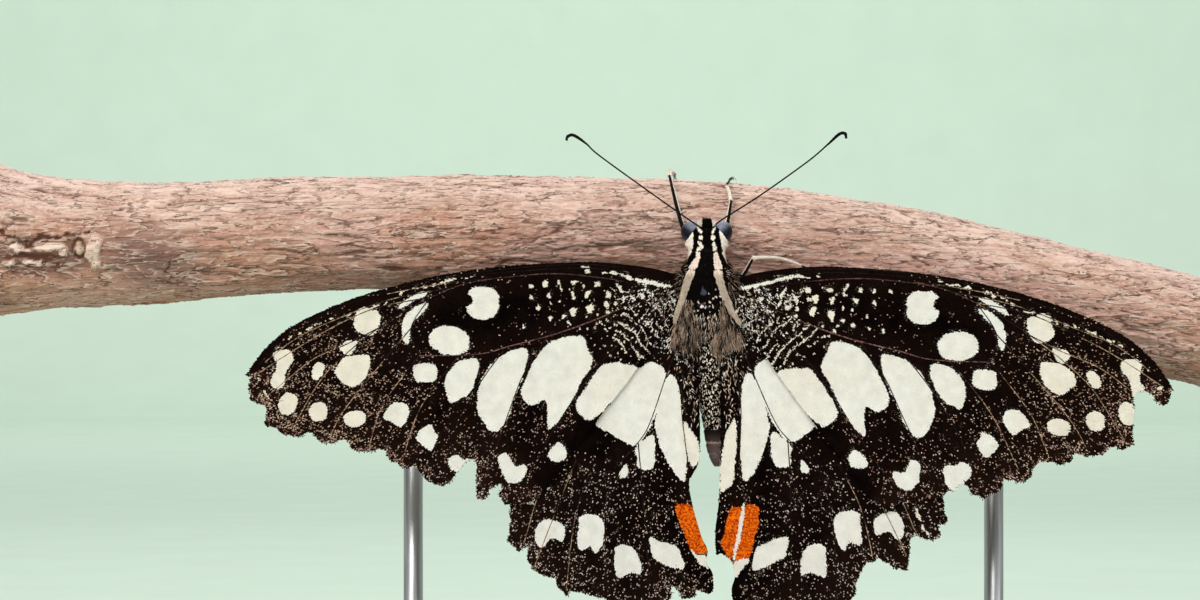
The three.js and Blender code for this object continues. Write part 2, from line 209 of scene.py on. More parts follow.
def dots(places, size, seed):
    """A field with one small round dot in each cell: which places lie in a dot, and the dot's number
    from 0 to 1."""
    cell = np.floor(places / size)
    off = np.stack([lattice(cell, seed), lattice(cell, seed + 1)], 1)
    middle = (cell + 0.25 + 0.5 * off) * size
    radius = size * (0.18 + 0.2 * lattice(cell, seed + 2))
    return np.linalg.norm(places - middle, axis=1) < radius, lattice(cell, seed + 3)


# ---- Wings: outlines ----------------------------------------------------------------------------------
# As in the CAD model: the costa is a wing's stiff front edge, and the margin beyond it is worn and torn,
# on each side in its own way.
FOREWING_INNER = [(12.3, -21.2), (9.8, -17.7), (7.1, -14.2), (4.6, -11.0), (2.8, -8.6), (1.2, -6.2),
                  (-0.2, -4.2), (-1.2, -3.0)]
FOREWING = {
    "root": (-3, 2.5),
    "costa": [(-1.2, 0.2), (1.8, 1.0), (6.8, 1.55), (11.8, 1.45), (16.8, 1.1), (21.8, 0.4),
              (26.8, -0.7), (31.8, -2.25), (36.8, -4.5), (39.8, -6.8), (42.0, -9.7)],
    "margin": {
        "left": [(41.4, -9.8), (41.7, -10.8), (41.5, -11.6), (41.7, -12.2), (41.0, -12.3), (40.1, -12.7),
                 (39.9, -13.4), (40.1, -14.3), (39.8, -14.8), (39.1, -14.8), (38.0, -15.6),
                 (36.6, -15.8), (36.2, -15.5), (35.5, -15.3), (34.8, -16.1), (34.1, -16.4),
                 (33.2, -16.4), (32.5, -16.0), (31.9, -16.0), (31.5, -16.8), (30.7, -17.2),
                 (29.6, -17.3), (29.0, -17.1), (28.0, -17.1), (27.8, -17.9), (26.4, -18.8),
                 (25.7, -18.9), (25.0, -18.6), (24.7, -19.0), (24.4, -19.6), (23.8, -20.1),
                 (22.5, -20.6), (21.7, -20.4), (21.1, -19.3), (19.8, -18.1), (19.1, -17.9),
                 (19.1, -20.0), (18.9, -21.8), (18.1, -21.9), (17.8, -21.1), (17.3, -20.6),
                 (16.4, -20.2), (16.8, -21.6), (16.2, -22.4), (15.6, -22.4), (14.2, -22.5)],
        "right": [(41.7, -10.3), (41.4, -11.3), (41.0, -11.5), (40.4, -10.8), (39.9, -10.3),
                  (39.3, -9.9), (38.3, -10.3), (38.0, -10.8), (38.2, -11.4), (38.1, -13.6),
                  (38.2, -15.3), (37.6, -15.4), (37.2, -15.8), (36.4, -15.6), (35.7, -15.6),
                  (35.3, -16.2), (34.0, -16.5), (33.4, -16.4), (32.4, -16.2), (32.1, -16.9),
                  (31.6, -17.2), (30.9, -17.4), (30.0, -17.1), (29.0, -17.1), (28.4, -17.6),
                  (28.2, -18.6), (27.8, -19.0), (26.8, -19.2), (26.3, -18.9), (25.5, -19.0),
                  (25.3, -19.7), (24.9, -20.2), (23.6, -20.8), (22.5, -20.4), (21.7, -19.5),
                  (21.1, -19.6), (20.8, -20.0), (19.9, -20.3), (19.3, -20.7), (18.5, -21.1),
                  (17.6, -20.9), (16.2, -21.6), (15.5, -21.3), (14.2, -22.2)],
    },
    "inner": {"left": FOREWING_INNER, "right": FOREWING_INNER},
}
HINDWING = {
    "root": (-1, 4),
    "costa": [(0.2, 0.9), (3.0, 0.9), (8.0, -1.2), (12.6, -5.2), (15.8, -9.8), (17.0, -13.5)],
    "margin": {
        "left": [(17.8, -17.2), (17.9, -21.2), (18.2, -22.2), (17.4, -22.8), (17.0, -23.2),
                 (16.2, -22.7), (16.1, -23.9), (15.8, -24.8), (15.2, -25.4), (14.1, -25.6),
                 (13.4, -25.8), (13.1, -26.7), (12.2, -27.6), (12.0, -27.1), (11.3, -27.1),
                 (10.2, -27.4), (9.0, -27.9), (8.6, -27.7), (8.0, -28.5), (6.8, -29.2), (5.6, -28.9),
                 (4.4, -29.2), (3.3, -29.5), (2.5, -28.9), (1.9, -27.6), (1.9, -26.6), (1.5, -26.7),
                 (1.0, -27.2), (0.9, -27.9), (0.2, -27.8), (-0.5, -27.7), (-0.5, -27.0),
                 (-1.0, -27.0)],
        "right": [(19.1, -17.1), (19.9, -19.4), (19.8, -20.6), (20.1, -21.7), (19.9, -22.0),
                  (19.2, -22.0), (19.3, -23.3), (18.8, -23.5), (17.7, -23.4), (17.1, -23.0),
                  (16.4, -22.9), (16.0, -24.8), (15.7, -26.3), (14.6, -26.0), (13.8, -25.4),
                  (13.0, -24.9), (11.8, -25.3), (11.1, -26.0), (10.7, -27.0), (10.4, -28.2),
                  (9.6, -29.1), (8.7, -29.8), (7.6, -29.4), (6.2, -29.7), (4.5, -29.9), (3.7, -29.2),
                  (2.0, -29.6), (0.7, -29.8), (0.0, -29.1)],
    },
    "inner": {
        "left": [(-1.9, -27.5), (-2.3, -26.8), (-2.2, -25.4), (-1.6, -24.4), (-1.7, -23.1),
                 (-1.2, -22.0), (-0.7, -20.4), (-0.2, -18.5), (0.1, -16.2), (-0.8, -14.4),
                 (-1.0, -12.0), (-0.9, -8.2), (-0.8, -4.0), (-0.3, -0.6)],
        "right": [(-0.9, -28.7), (-1.5, -27.9), (-1.6, -26.7), (-1.2, -25.6), (-1.3, -24.0),
                  (-2.3, -23.0), (-2.8, -23.0), (-2.7, -20.9), (-2.4, -19.4), (-2.1, -17.9),
                  (-1.6, -14.0), (-1.3, -11.0), (-1.1, -8.2), (-0.8, -4.0), (-0.3, -0.6)],
    },
}
WINGS = {
    "forewing_left": {"plan": FOREWING, "hinge": (3.9, 48.2), "sign": -1, "droop": 0.0, "reach": 1.0},
    "forewing_right": {"plan": FOREWING, "hinge": (4.0, 47.9), "sign": 1, "droop": 1.2, "reach": 1.012},
    "hindwing_left": {"plan": HINDWING, "hinge": (1.7, 44.2), "sign": -1, "droop": 0.0, "reach": 1.0},
    "hindwing_right": {"plan": HINDWING, "hinge": (1.7, 44.2), "sign": 1, "droop": -5.0, "reach": 1.01},
}


WING_ARCH = {"from": 3, "depth": -0.9, "slope": -0.05, "bend": 0.0011}


def wing_depth(x):
    """How far a wing's middle plane stands in front of the body's axis, in the CAD model's arch."""
    out = np.maximum(np.abs(x) - WING_ARCH["from"], 0)
    return WING_ARCH["depth"] + WING_ARCH["slope"] * out + WING_ARCH["bend"] * out**2


# ---- Wings: veins, each a line of (s, t) from root to tip ---------------------------------------------
FOREWING_VEINS = {
    "costal": [(0.2, 0.55), (8, 1.3), (16, 0.9), (24, -0.35), (30, -2.0), (36, -4.55), (40.8, -8.6)],
    "subcosta": [(0.2, 0.3), (8, 0.95), (15, 0.65), (21.5, 0.05)],
    "radius": [(0.8, -1.4), (4.5, -0.35), (6.8, 0.02), (10.7, 0.4), (14.3, 0.25), (19.9, -0.5),
               (23.7, -1.95)],
    "radius_1": [(16.5, 0.0), (22.0, -0.5), (28.0, -1.6)],
    "radius_2": [(21.0, -0.9), (27.5, -2.1), (33.0, -4.1), (37.0, -6.0), (40.2, -8.4)],
    "radius_3": [(23.7, -1.95), (28.8, -2.9), (32.8, -4.6), (36.8, -6.9), (41.3, -9.8)],
    "radius_4": [(28.3, -4.7), (31.8, -6.5), (35.2, -8.0), (37.8, -10.0), (40.6, -12.3)],
    "radius_5": [(23.7, -1.95), (26.4, -3.4), (28.7, -4.9), (31.9, -7.4), (34.7, -10.3), (37.5, -15.2)],
    "cell_end": [(23.7, -1.95), (25.6, -5.0), (24.8, -7.75)],
    "medial_1": [(25.6, -5.0), (28.3, -8.2), (32.3, -13.2), (33.7, -16.0)],
    "medial_2": [(24.8, -7.75), (26.5, -9.9), (28.6, -13.0), (29.8, -16.9)],
    "medial_3": [(20.8, -7.75), (22.8, -10.2), (24.9, -13.4), (26.5, -18.3)],
    "cubitus": [(0.2, -1.7), (4.2, -2.9), (7.6, -4.3), (11.3, -5.6), (15.8, -6.8), (19.0, -7.6),
                (24.8, -7.75)],
    "cubital_1": [(16.3, -7.1), (18.9, -10.7), (21.3, -15.2), (22.4, -20.2)],
    "cubital_2": [(11.9, -5.7), (14.2, -9.2), (15.6, -12.6), (18.7, -21.4)],
    "anal": [(0.4, -2.4), (6.6, -8.3), (11.2, -14.8), (15.2, -22.0)],
}
HINDWING_VEINS = {
    "shoulder": [(0.5, 0.2), (6.0, -1.2), (12.0, -6.4), (16.6, -13.4), (17.6, -23.0)],
    "sector": [(0.5, -0.4), (5.0, -3.4), (10.0, -7.6), (12.5, -11.5)],
    "medial_1": [(12.5, -11.5), (14.8, -16.5), (16.3, -21.5), (17.2, -24.6)],
    "cell_end": [(12.5, -11.5), (11.4, -14.2), (10.0, -15.4), (7.8, -15.3)],
    "medial_2": [(11.4, -14.2), (13.5, -19.5), (15.7, -25.2)],
    "medial_3": [(10.0, -15.4), (11.5, -20.0), (12.4, -27.4)],
    "cubitus": [(0.6, -1.0), (2.2, -5.2), (4.0, -10.4), (5.2, -12.4), (7.8, -15.3)],
    "cubital_1": [(7.8, -15.3), (8.5, -20.0), (8.2, -28.8)],
    "cubital_2": [(5.2, -12.4), (4.7, -18.0), (3.9, -29.1)],
    "anal": [(0.3, -2.0), (0.9, -8.0), (0.3, -14.0), (0.0, -17.2)],
}


# ---- Wings: markings ----------------------------------------------------------------------------------
FOREWING_SPOTS = [
    oval(29.85, -4.3, 1.25, 1.3, 20, 3.2),
    streak(0.62, (26.7, -3.0), (25.4, -2.1), (23.9, -1.45)),
    streak(0.95, (23.9, -2.6), (25.1, -3.5), (25.9, -4.6), (25.9, -6.4)),
    cut(oval(18.35, -2.45, 1.62, 1.62, 0, 2.6), oval(20.1, -2.15, 0.75, 0.6)),
    oval(21.65, -6.2, 2.05, 1.4, 8, 2.2),
    blob((32.6, -6.7), (30.9, -6.15), (31.2, -7.3), (31.9, -7.6)),
    blob((32.95, -9.0), (32.0, -7.85), (29.95, -7.6), (29.5, -8.25), (29.95, -9.8), (31.4, -10.8),
         (32.8, -9.85)),
    oval(34.75, -9.2, 0.55, 0.9, 25),
    blob((39.2, -7.45), (38.3, -7.1), (37.35, -7.3), (37.2, -8.25), (37.85, -9.1), (38.2, -10.75),
         (38.95, -11.0), (39.5, -10.3), (38.9, -8.9)),
    oval(37.75, -12.5, 0.9, 1.1, 20),
    oval(34.7, -13.3, 0.88, 0.95),
    oval(31.05, -13.95, 1.12, 0.8, -8),
    blob((28.25, -13.75), (27.45, -12.5), (26.5, -12.3), (25.65, -12.9), (25.8, -13.9), (26.5, -14.75),
         (27.45, -14.25)),
    oval(24.05, -9.4, 1.2, 0.97, -5, 3.2),
    blob((22.1, -10.6), (21.8, -9.35), (20.7, -8.25), (19.45, -7.95), (18.75, -8.25), (18.8, -9.35),
         (19.6, -11.25), (20.7, -12.05), (21.65, -12.25)),
    blob((25.0, -15.8), (24.3, -14.85), (23.5, -14.5), (23.2, -15.2), (22.8, -15.65), (23.0, -16.3),
         (23.5, -17.1), (24.3, -16.6)),
    blob((21.8, -18.0), (21.0, -17.45), (20.35, -17.85), (19.05, -18.15), (19.1, -19.75), (20.2, -20.4),
         (21.0, -19.4), (21.65, -18.8)),
    blob((18.8, -13.3), (18.95, -12.2), (18.6, -10.3), (17.55, -8.55), (16.15, -7.45), (14.85, -7.0),
         (14.0, -6.95), (13.95, -8.1), (14.45, -10.0), (15.35, -12.2), (15.95, -14.05), (16.9, -15.15),
         (17.85, -14.85)),
    blob((14.55, -11.25), (14.1, -10.0), (13.15, -8.1), (11.9, -6.55), (10.45, -5.9), (8.9, -5.65),
         (8.25, -6.05), (7.95, -6.85), (7.4, -8.25), (8.25, -9.7), (9.35, -11.85), (10.45, -13.6),
         (11.75, -14.95), (11.95, -14.4), (11.9, -12.65), (12.35, -12.05), (13.3, -12.6),
         (14.25, -12.05)),
    blob((9.2, -12.65), (8.25, -10.95), (6.75, -8.85), (6.05, -8.35), (4.2, -8.4), (2.9, -8.95),
         (3.55, -10.3), (5.6, -12.35), (7.35, -13.9), (8.25, -13.9)),
    blob((16.85, -17.85), (16.15, -17.35), (15.5, -18.15), (15.05, -18.65), (14.25, -18.45),
         (13.95, -18.95), (14.25, -19.75), (15.05, -20.35), (16.0, -20.2), (16.5, -19.1)),
    blob((11.9, -17.55), (11.45, -16.75), (10.8, -16.25), (10.1, -17.05), (10.2, -17.85),
         (10.95, -18.15), (11.6, -18.0)),
]
HINDWING_SPOTS = [
    blob((9.4, -10.35), (7.85, -7.85), (6.1, -5.8), (5.0, -4.85), (3.9, -4.25), (2.65, -4.85),
         (2.5, -5.95), (2.95, -7.85), (3.6, -10.05), (4.25, -11.3), (5.15, -12.55), (6.25, -12.4),
         (8.0, -11.3)),
    blob((3.45, -11.0), (3.3, -9.4), (2.5, -6.25), (1.85, -5.5), (1.25, -6.25), (0.85, -8.45),
         (0.7, -10.35), (0.4, -13.5), (0.45, -16.0), (1.1, -15.85), (2.05, -14.6), (2.95, -12.7)),
    blob((5.3, -13.8), (5.5, -13.2), (4.85, -12.35), (3.9, -11.5), (3.45, -12.25), (3.6, -14.6),
         (4.4, -15.05), (5.2, -14.75)),
    blob((7.05, -15.4), (6.35, -14.45), (6.15, -15.55), (6.75, -15.85)),
    blob((15.4, -21.35), (14.9, -20.25), (13.95, -19.95), (12.65, -20.4), (12.4, -21.35),
         (12.7, -22.15), (13.8, -21.8), (14.6, -22.75), (15.2, -22.45)),
    blob((11.0, -19.75), (9.9, -19.45), (8.8, -19.85), (8.55, -21.05), (8.8, -22.6), (9.4, -23.4),
         (9.9, -22.6), (10.8, -23.05), (11.2, -22.3), (11.1, -20.7)),
    blob((7.45, -22.9), (6.6, -22.5), (5.5, -22.9), (5.0, -24.0), (4.9, -25.4), (5.8, -25.25),
         (7.05, -25.8), (7.45, -25.1)),
    blob((4.05, -21.65), (2.95, -22.15), (1.4, -22.6), (0.95, -23.25), (0.6, -24.8), (1.7, -24.75),
         (3.45, -24.0), (3.9, -22.9)),
]
HINDWING_INNER_SPOTS = {
    "left": [
        blob((0.6, -10.3), (0.1, -10.7), (-0.65, -11.9), (-1.0, -13.4), (-0.5, -14.6), (0.1, -14.4),
             (0.4, -12.6)),
        blob((0.0, -22.9), (-0.8, -23.4), (-1.6, -23.6), (-2.0, -24.9), (-1.1, -24.5), (-0.5, -23.7)),
    ],
    "right": [
        blob((0.2, -9.9), (-0.3, -10.4), (-0.9, -11.4), (-1.4, -13.4), (-1.75, -15.4), (-1.8, -16.9),
             (-0.85, -16.5), (-0.45, -15.7), (0.1, -12.5)),
        blob((0.31, -23.7), (-0.06, -24.5), (-0.6, -25.0), (-1.25, -25.6), (-1.2, -24.0)),
        streak(0.42, (0.29, -18.3), (-0.07, -20.1), (-0.63, -22.0), (-1.18, -23.7)),
    ],
}
HINDWING_ORANGE = {
    "left": [blob((1.4, -18.6), (1.0, -18.4), (-0.2, -18.7), (-1.0, -21.2), (-1.7, -23.2),
                  (-1.0, -23.3), (-0.1, -23.0), (0.7, -21.2), (1.4, -19.2))],
    "right": [blob((-0.94, -18.7), (-0.04, -18.7), (-0.3, -20.05), (-0.83, -22.0), (-1.37, -23.6),
                   (-1.66, -23.5), (-2.16, -22.4), (-2.21, -21.9), (-1.83, -20.9), (-1.4, -19.5)),
              blob((0.46, -18.6), (1.16, -18.5), (1.73, -18.8), (1.79, -19.3), (1.47, -20.7),
                   (0.8, -22.6), (0.31, -23.7), (-0.49, -23.8), (-1.2, -23.9), (-0.6, -22.5),
                   (0.07, -20.5))],
}
# Small pale marks, left out where the spots are: rows of dashes and slanting lines in the forewing's
# cell, and pale lines along its costa and at its apex.
FOREWING_DASHES = [
    oval(13.45, -0.75, 0.28, 0.22), oval(12.1, -0.65, 0.27, 0.3), oval(9.3, -0.6, 0.36, 0.26),
    oval(8.35, -0.6, 0.14, 0.24), oval(7.1, -0.6, 0.36, 0.3), oval(13.5, -1.9, 0.25, 0.3, 30),
    oval(11.7, -1.7, 0.2, 0.4, 15), oval(9.4, -1.65, 0.2, 0.6), oval(8.4, -2.1, 0.14, 0.3),
    oval(7.8, -1.6, 0.34, 0.5), oval(7.1, -1.7, 0.2, 0.15), oval(5.85, -1.6, 0.25, 0.5),
    oval(3.25, -1.8, 0.15, 0.55), oval(12.8, -2.9, 0.14, 0.4), oval(11.45, -2.5, 0.2, 0.4, -20),
    oval(10.6, -2.35, 0.14, 0.25), oval(9.3, -3.3, 0.32, 0.6, 15), oval(7.6, -2.9, 0.4, 0.5, 40),
    oval(6.0, -2.6, 0.25, 0.25), oval(5.9, -3.3, 0.25, 0.2), oval(5.1, -2.5, 0.2, 0.25),
    oval(14.35, -4.7, 0.2, 0.35), oval(13.0, -4.3, 0.15, 0.28), oval(11.55, -3.95, 0.24, 0.32),
    oval(10.4, -3.7, 0.2, 0.3, 25), oval(8.0, 0.97, 0.4, 0.14), oval(7.9, 0.66, 0.34, 0.14),
    oval(2.4, -1.7, 0.25, 0.4), streak(0.26, (15.4, -1.0), (14.8, -0.7)),
    streak(0.28, (10.9, -0.1), (10.7, -0.6), (10.5, -1.4)),
    streak(0.34, (5.2, -0.4), (4.7, -0.9), (4.35, -1.6), (4.2, -2.6)),
    streak(0.24, (10.0, -4.1), (9.5, -4.7)),
    streak(0.34, (7.2, 0.56), (5.6, 0.5), (4.5, 0.33), (3.4, 0.05), (2.3, -0.26)),
    streak(0.5, (3.6, 0.1), (2.3, -0.26), (1.1, -0.49), (-0.6, -0.7)),
    streak(0.16, (40.0, -8.3), (38.6, -6.7), (36.5, -5.3)),
    streak(0.22, (37.0, -5.7), (34.8, -4.6), (31.8, -3.6)),
    streak(0.2, (32.6, -4.0), (30.4, -3.2), (27.8, -2.5)), streak(0.22, (25.7, -1.2), (19.0, 0.3)),
    streak(0.16, (28.2, -2.3), (24.6, -0.9)), streak(0.3, (41.2, -9.6), (40.3, -10.4)),
    streak(0.3, (40.3, -11.2), (39.3, -12.2)),
]
HINDWING_DASHES = {
    "left": [oval(15.8, -18.3, 0.45, 0.25, 20), streak(0.16, (15.6, -18.2), (14.0, -16.7)),
             streak(0.14, (15.4, -18.2), (14.3, -17.2))],
    "right": [oval(16.2, -19.0, 0.42, 0.22, 20), streak(0.22, (16.3, -19.1), (17.1, -21.1), (17.9, -23.3)),
              streak(0.14, (15.9, -18.8), (14.4, -17.2))],
}
# The right forewing's marks lie nearer its root than the left's: rows of t, and by how much there.
MARKS_NEARER = [(-19.0, -0.7), (-15.8, 0.1), (-13.5, 0.33), (-9.0, 0.68), (-6.0, 0.95), (-3.0, 1.2)]
# The under side: pale streaks fan out from the root, and the hindwing's black spots hold orange and blue.
FOREWING_UNDER = [streak(0.9, (1.5, -0.9), (7, -1.6), (13.5, -2.0)),
                  streak(0.8, (2.5, -1.9), (8, -3.0), (14, -4.4)),
                  streak(1.6, (0.8, -3.2), (3.5, -5.0), (6.5, -6.8))]
HINDWING_UNDER = [oval(3.2, -3.4, 2.0, 3.0, 20), streak(1.6, (5.5, -3.2), (9.0, -6.3), (11.6, -10.2)),
                  streak(1.3, (7.5, -2.6), (12.0, -6.8), (14.6, -10.6)), oval(13.4, -14.6, 1.3, 1.6)]
UNDER_GROWTH = 0.35
UNDER_LUNES = [(14.9, -18.0), (12.4, -18.6), (9.9, -18.0), (7.4, -18.4), (5.0, -17.9), (2.4, -17.9)]


# ---- Wings: one side's shape, read from tables --------------------------------------------------------
MARGIN_PITCH = 0.12
RAGGED = {"depth": 0.14, "size": 0.5}
SHEET = {"low": (-6.0, -33.0), "high": (44.0, 5.0)}
PITCH = {"margin": 0.12, "vein": 0.12, "patches": 0.09, "pleats": 0.4}


def pairs(first, second):
    """A grid of every number of the first row with every number of the second."""
    return np.stack(np.meshgrid(first, second, indexing="ij"), axis=-1)


def sheet_grid(pitch):
    """Points of the wing's plane, one pitch apart."""
    return pairs(*(np.arange(low, high, pitch) for low, high in zip(SHEET["low"], SHEET["high"])))


class Table:
    """Functions of the wing's plane, worked out once on a fine grid and read off between its points."""

    def __init__(self, pitch, function):
        self.pitch = pitch
        grid = sheet_grid(pitch)
        self.values = np.stack(function(grid.reshape(-1, 2)), axis=1).reshape(*grid.shape[:2], -1)

    def __call__(self, places):
        at = (places - SHEET["low"]) / self.pitch
        at = np.clip(at, 0, np.array(self.values.shape[:2]) - 1.001)
        low = at.astype(int)
        i, j = low.T
        u, v = (at - low).T[:, :, None]
        near, far = (self.values[i + k, j] * (1 - v) + self.values[i + k, j + 1] * v for k in (0, 1))
        return (near * (1 - u) + far * u).T


def turned_by(ways, angles):
    """Ways in a plane, each turned by its angle."""
    c, s = np.cos(angles), np.sin(angles)
    return np.stack([ways[:, 0] * c - ways[:, 1] * s, ways[:, 1] * c + ways[:, 0] * s], 1)


class Wing:
    """A wing's outline and marks, and its place on the body."""

    def __init__(self, name):
        self.name = name
        kind, self.side = name.split("_")
        self.fore = kind == "forewing"
        self.seed = sum(map(ord, name))
        self.place = WINGS[name]
        plan = self.place["plan"]
        self.root = np.array(plan["root"], dtype=float)
        self.veins = {}
        for key, points in (FOREWING_VEINS if self.fore else HINDWING_VEINS).items():
            points = np.array(points, dtype=float)
            self.veins[key] = 2 * points - self.left_alike(points)
        costa = even(spline(plan["costa"], 12), MARGIN_PITCH)
        inner = even(spline(plan["inner"][self.side], 12), MARGIN_PITCH)
        margin = even(np.array([costa[-1], *plan["margin"][self.side], inner[0]]), MARGIN_PITCH)
        closing = even(np.array([inner[-1], costa[0]]), MARGIN_PITCH)
        runs = [costa[:-1], margin[:-1], inner[:-1], closing[:-1]]
        outline = np.concatenate(runs)
        self.outer = np.concatenate([np.full(len(run), k == 1) for k, run in enumerate(runs)])
        ahead = unit(np.roll(outline, -2, axis=0) - np.roll(outline, 2, axis=0))
        self.outward = np.stack([-ahead[:, 1], ahead[:, 0]], 1)
        bites = np.clip(rough(outline, RAGGED["size"], self.seed, 3), -0.3, 1) * self.outer
        self.outline = outline - self.outward * (RAGGED["depth"] * bites)[:, None]
        self.margin = Table(PITCH["margin"], self.margin_distance)
        self.vein = Table(PITCH["vein"], self.vein_distance)
        self.patches = Table(PITCH["patches"], self.patch_distances)
        self.pleats = Table(PITCH["pleats"], self.pleat_height)

    def margin_distance(self, places):
        """Distance inside the outline, and whether the nearest part of it is the outer margin."""
        tree = KDTree(len(self.outline))
        for k, (s, t) in enumerate(self.outline):
            tree.insert((s, t, 0), k)
        tree.balance()
        found = [tree.find((s, t, 0))[1:] for s, t in places.tolist()]
        nearest, apart = (np.array(column) for column in zip(*found))
        return np.where(inside(places, self.outline), apart, -apart), self.outer[nearest] * 1.0

    def vein_distance(self, places):
        """Distance from the nearest vein."""
        lines = [line_distance(places, spline(points, 3))[0] for points in self.veins.values()]
        return [np.minimum.reduce(lines)]

    def left_alike(self, places):
        """Where the left wing has the marks that this wing has at places."""
        if self.side == "left":
            return places
        s, t = places.T
        if self.fore:
            nearer = np.interp(t, *zip(*MARKS_NEARER)) * np.maximum(smooth(5, 15, s), smooth(-6, -5, t))
            return places + np.stack([nearer * (1 - 0.6 * smooth(33, 38, s)), -0.25 * smooth(12, 16, s)], 1)
        lower = smooth(-16, -19, t) * smooth(3, 5, s)
        return places + np.stack([-0.4 * lower, 0.4 * lower], 1)

    def patch_distances(self, places):
        """Distances to the spots above and below, the orange patches and the small pale marks."""
        if self.fore:
            upper, under = FOREWING_SPOTS, FOREWING_UNDER
            orange, small = [lambda places: np.full(len(places), FAR)], FOREWING_DASHES
        else:
            upper, under = HINDWING_SPOTS + HINDWING_INNER_SPOTS[self.side], HINDWING_UNDER
            orange, small = HINDWING_ORANGE[self.side], HINDWING_DASHES[self.side]
        ragged = 0.05 - 0.1 * rough(places, 0.4, self.seed + 21, 2)
        pulled = 0.13 * rough(places, 0.6, self.seed + 23, 2)
        places = self.left_alike(places)
        small = joined_distance(small, places + pulled[:, None]) + ragged
        return [joined_distance(spots, places) for spots in (upper, upper + under, orange)] + [small]

    def pleat_height(self, places):
        """A wing stands a little proud along its veins and dips between them."""
        return [0.13 * np.exp(-self.vein(places)[0] / 0.9) + 0.05 * rough(places, 6, 3)]

    def set(self, places, lift=0.0):
        """Points of the wing's plane in the row's frame; lift is towards the viewer."""
        turn = math.radians(self.place["droop"])
        s, t = places[:, 0], places[:, 1]
        out = self.place["reach"] * (s * math.cos(turn) + t * math.sin(turn))
        up = self.place["reach"] * (t * math.cos(turn) - s * math.sin(turn))
        x = self.place["sign"] * (self.place["hinge"][0] + out)
        depth = BUTTERFLY_Y + wing_depth(x) + (0 if self.fore else WING_STACK)
        y = depth - self.pleats(places)[0] - lift
        return np.stack([x, y, self.place["hinge"][1] + up], axis=1)

    def directions(self, places, ways, lift):
        """Where places lie in the row's frame, their ways along the wing and the ways out of it."""
        starts = self.set(places, lift)
        ways = unit(self.set(places + ways * 0.3, lift) - starts)
        normals = np.tile([0.0, -1.0 if np.all(lift >= 0) else 1.0, 0.0], (len(places), 1))
        return starts, ways, square_to(normals, ways)

    def map(self, places):
        """The wing laid flat on the bake map."""
        return np.clip((places - (-4.0, -32.0)) / 48.0, 0, 1) * (0.96, 1.3) + 0.01

    def dust(self, places, seed):
        """How far places are from the root, how thick pale dust lies there, and which lie on a net of fine
        pale lines and crumbs at the root."""
        s, t = places.T
        edge, outer = self.margin(places)
        drift = 0.6 * noise(places, 0.4, seed + 2) + 0.4 * noise(places, 1.6, seed + 4)
        if self.fore:
            reach = np.hypot(s + 3, t - 2.5)
            thick = 0.03 + 0.25 * smooth(22, 32, s) + 0.12 * smooth(-8, -15, t)
            thick = thick + 0.13 * smooth(11, 6, reach) * smooth(0.6, -1.5, t)
            thick = thick * (1 - (1 - outer) * smooth(1.8, 1.0, edge))
            net = (np.abs(rough(places, 0.8, seed + 12, 2)) < 0.06) & (reach < 7.5 + 3 * drift) & (t < -0.5)
            across = (0.72 * s - 0.7 * t + 0.3 * rough(places, 1.6, seed + 14)) / 0.85
            slants = (np.abs(across % 1 - 0.5) < 0.09) & (noise(places, 0.8, seed + 15) > 0.33)
            below = t < -0.4 * s - 1.6
            net |= slants & (reach < 12.5) & below
            in_crumb, chance = dots(places, DUST["crumb"], seed + 20)
            net |= in_crumb & (chance < np.where(below, 0.22, 0.07)) & (reach < 13 + 2 * drift) & (t < -0.4)
        else:
            reach = np.hypot(s + 1, t - 4)
            thick = 0.05 + 0.12 * smooth(-12, -20, t) + 0.16 * smooth(10, 7, reach)
            net = (np.abs(rough(places, 0.8, seed + 12, 2)) < 0.07) & (reach < 8.5)
        thick = thick + 0.4 * outer * np.exp(-np.maximum(edge, 0) / 0.7)
        thick = thick + 0.15 * np.exp(-self.vein(places)[0] / 0.2) * smooth(14, 22, reach)
        thick = thick * (0.2 + 1.1 * smooth(0.38, 0.62, drift)) * (1.0 if self.side == "left" else 0.8)
        return reach, thick, net

    def marks(self, top, places, jitter):
        """For each place pale, orange, tone and blue, each 0 to 1, and whether it is loose pale dust."""
        seed = self.seed + (0 if top else 31)
        warp = 0.07 * np.stack([rough(places, 0.6, seed), rough(places, 0.6, seed + 9)], 1)
        upper, under, orange, small = self.patches(places + warp)
        edge, outer = self.margin(places)
        s, t = places.T
        spots = upper if top else under - UNDER_GROWTH
        pale = (spots < 0) | ((small < 0) & top)
        reach, thick, net = self.dust(places, seed)
        in_dot, chance = dots(places, DUST["dot"], seed)
        dust = (jitter < 0.45 * thick) | (in_dot & (chance < 0.25 * thick)) | (net & (jitter < 0.85))
        dust &= spots > 0.12
        light = (pale | dust) & ((orange > 0) | (spots < 0))
        fired = np.where(dust & ~net, (0.16 if self.fore else 0.09) * smooth(6, 12, reach), 0.0)
        fired = np.where(spots < 0, 0, np.where(orange < 0, 1.0, fired))
        blue = np.zeros(len(places))
        if not (top or self.fore):
            for middle in UNDER_LUNES:
                lune = np.hypot(*((places - middle) / (1.0, 0.75)).T)
                fired = np.where(lune < 0.8, 1.0, fired)
                blue = np.where((lune > 0.75) & (lune < 1.15) & (t < middle[1]), 1.0, blue)
        warm = 0.2 * noise(places, 3.0, seed + 6) + 0.15 * jitter
        if self.fore:
            warm = warm + 0.45 * smooth(24, 31, s) + 0.2 * smooth(9.5, 6.5, s)
        else:
            warm = warm + 0.3 * smooth(1.5, 0.0, s)
        loose = light & (spots > 0)
        warm = np.where(loose, warm + 0.5 * smooth(6, 12, reach), warm)
        ground = 0.25 * smooth(3.0, 0.3, self.vein(places)[0])
        ground = ground + 0.5 * noise(places, 1.2, seed + 7) * jitter
        ground = ground + 0.35 * outer * smooth(6, 0, edge)
        warm = np.where(light, warm, ground)
        fading = 1 + smooth(6, 12, reach) if self.fore else 1.2
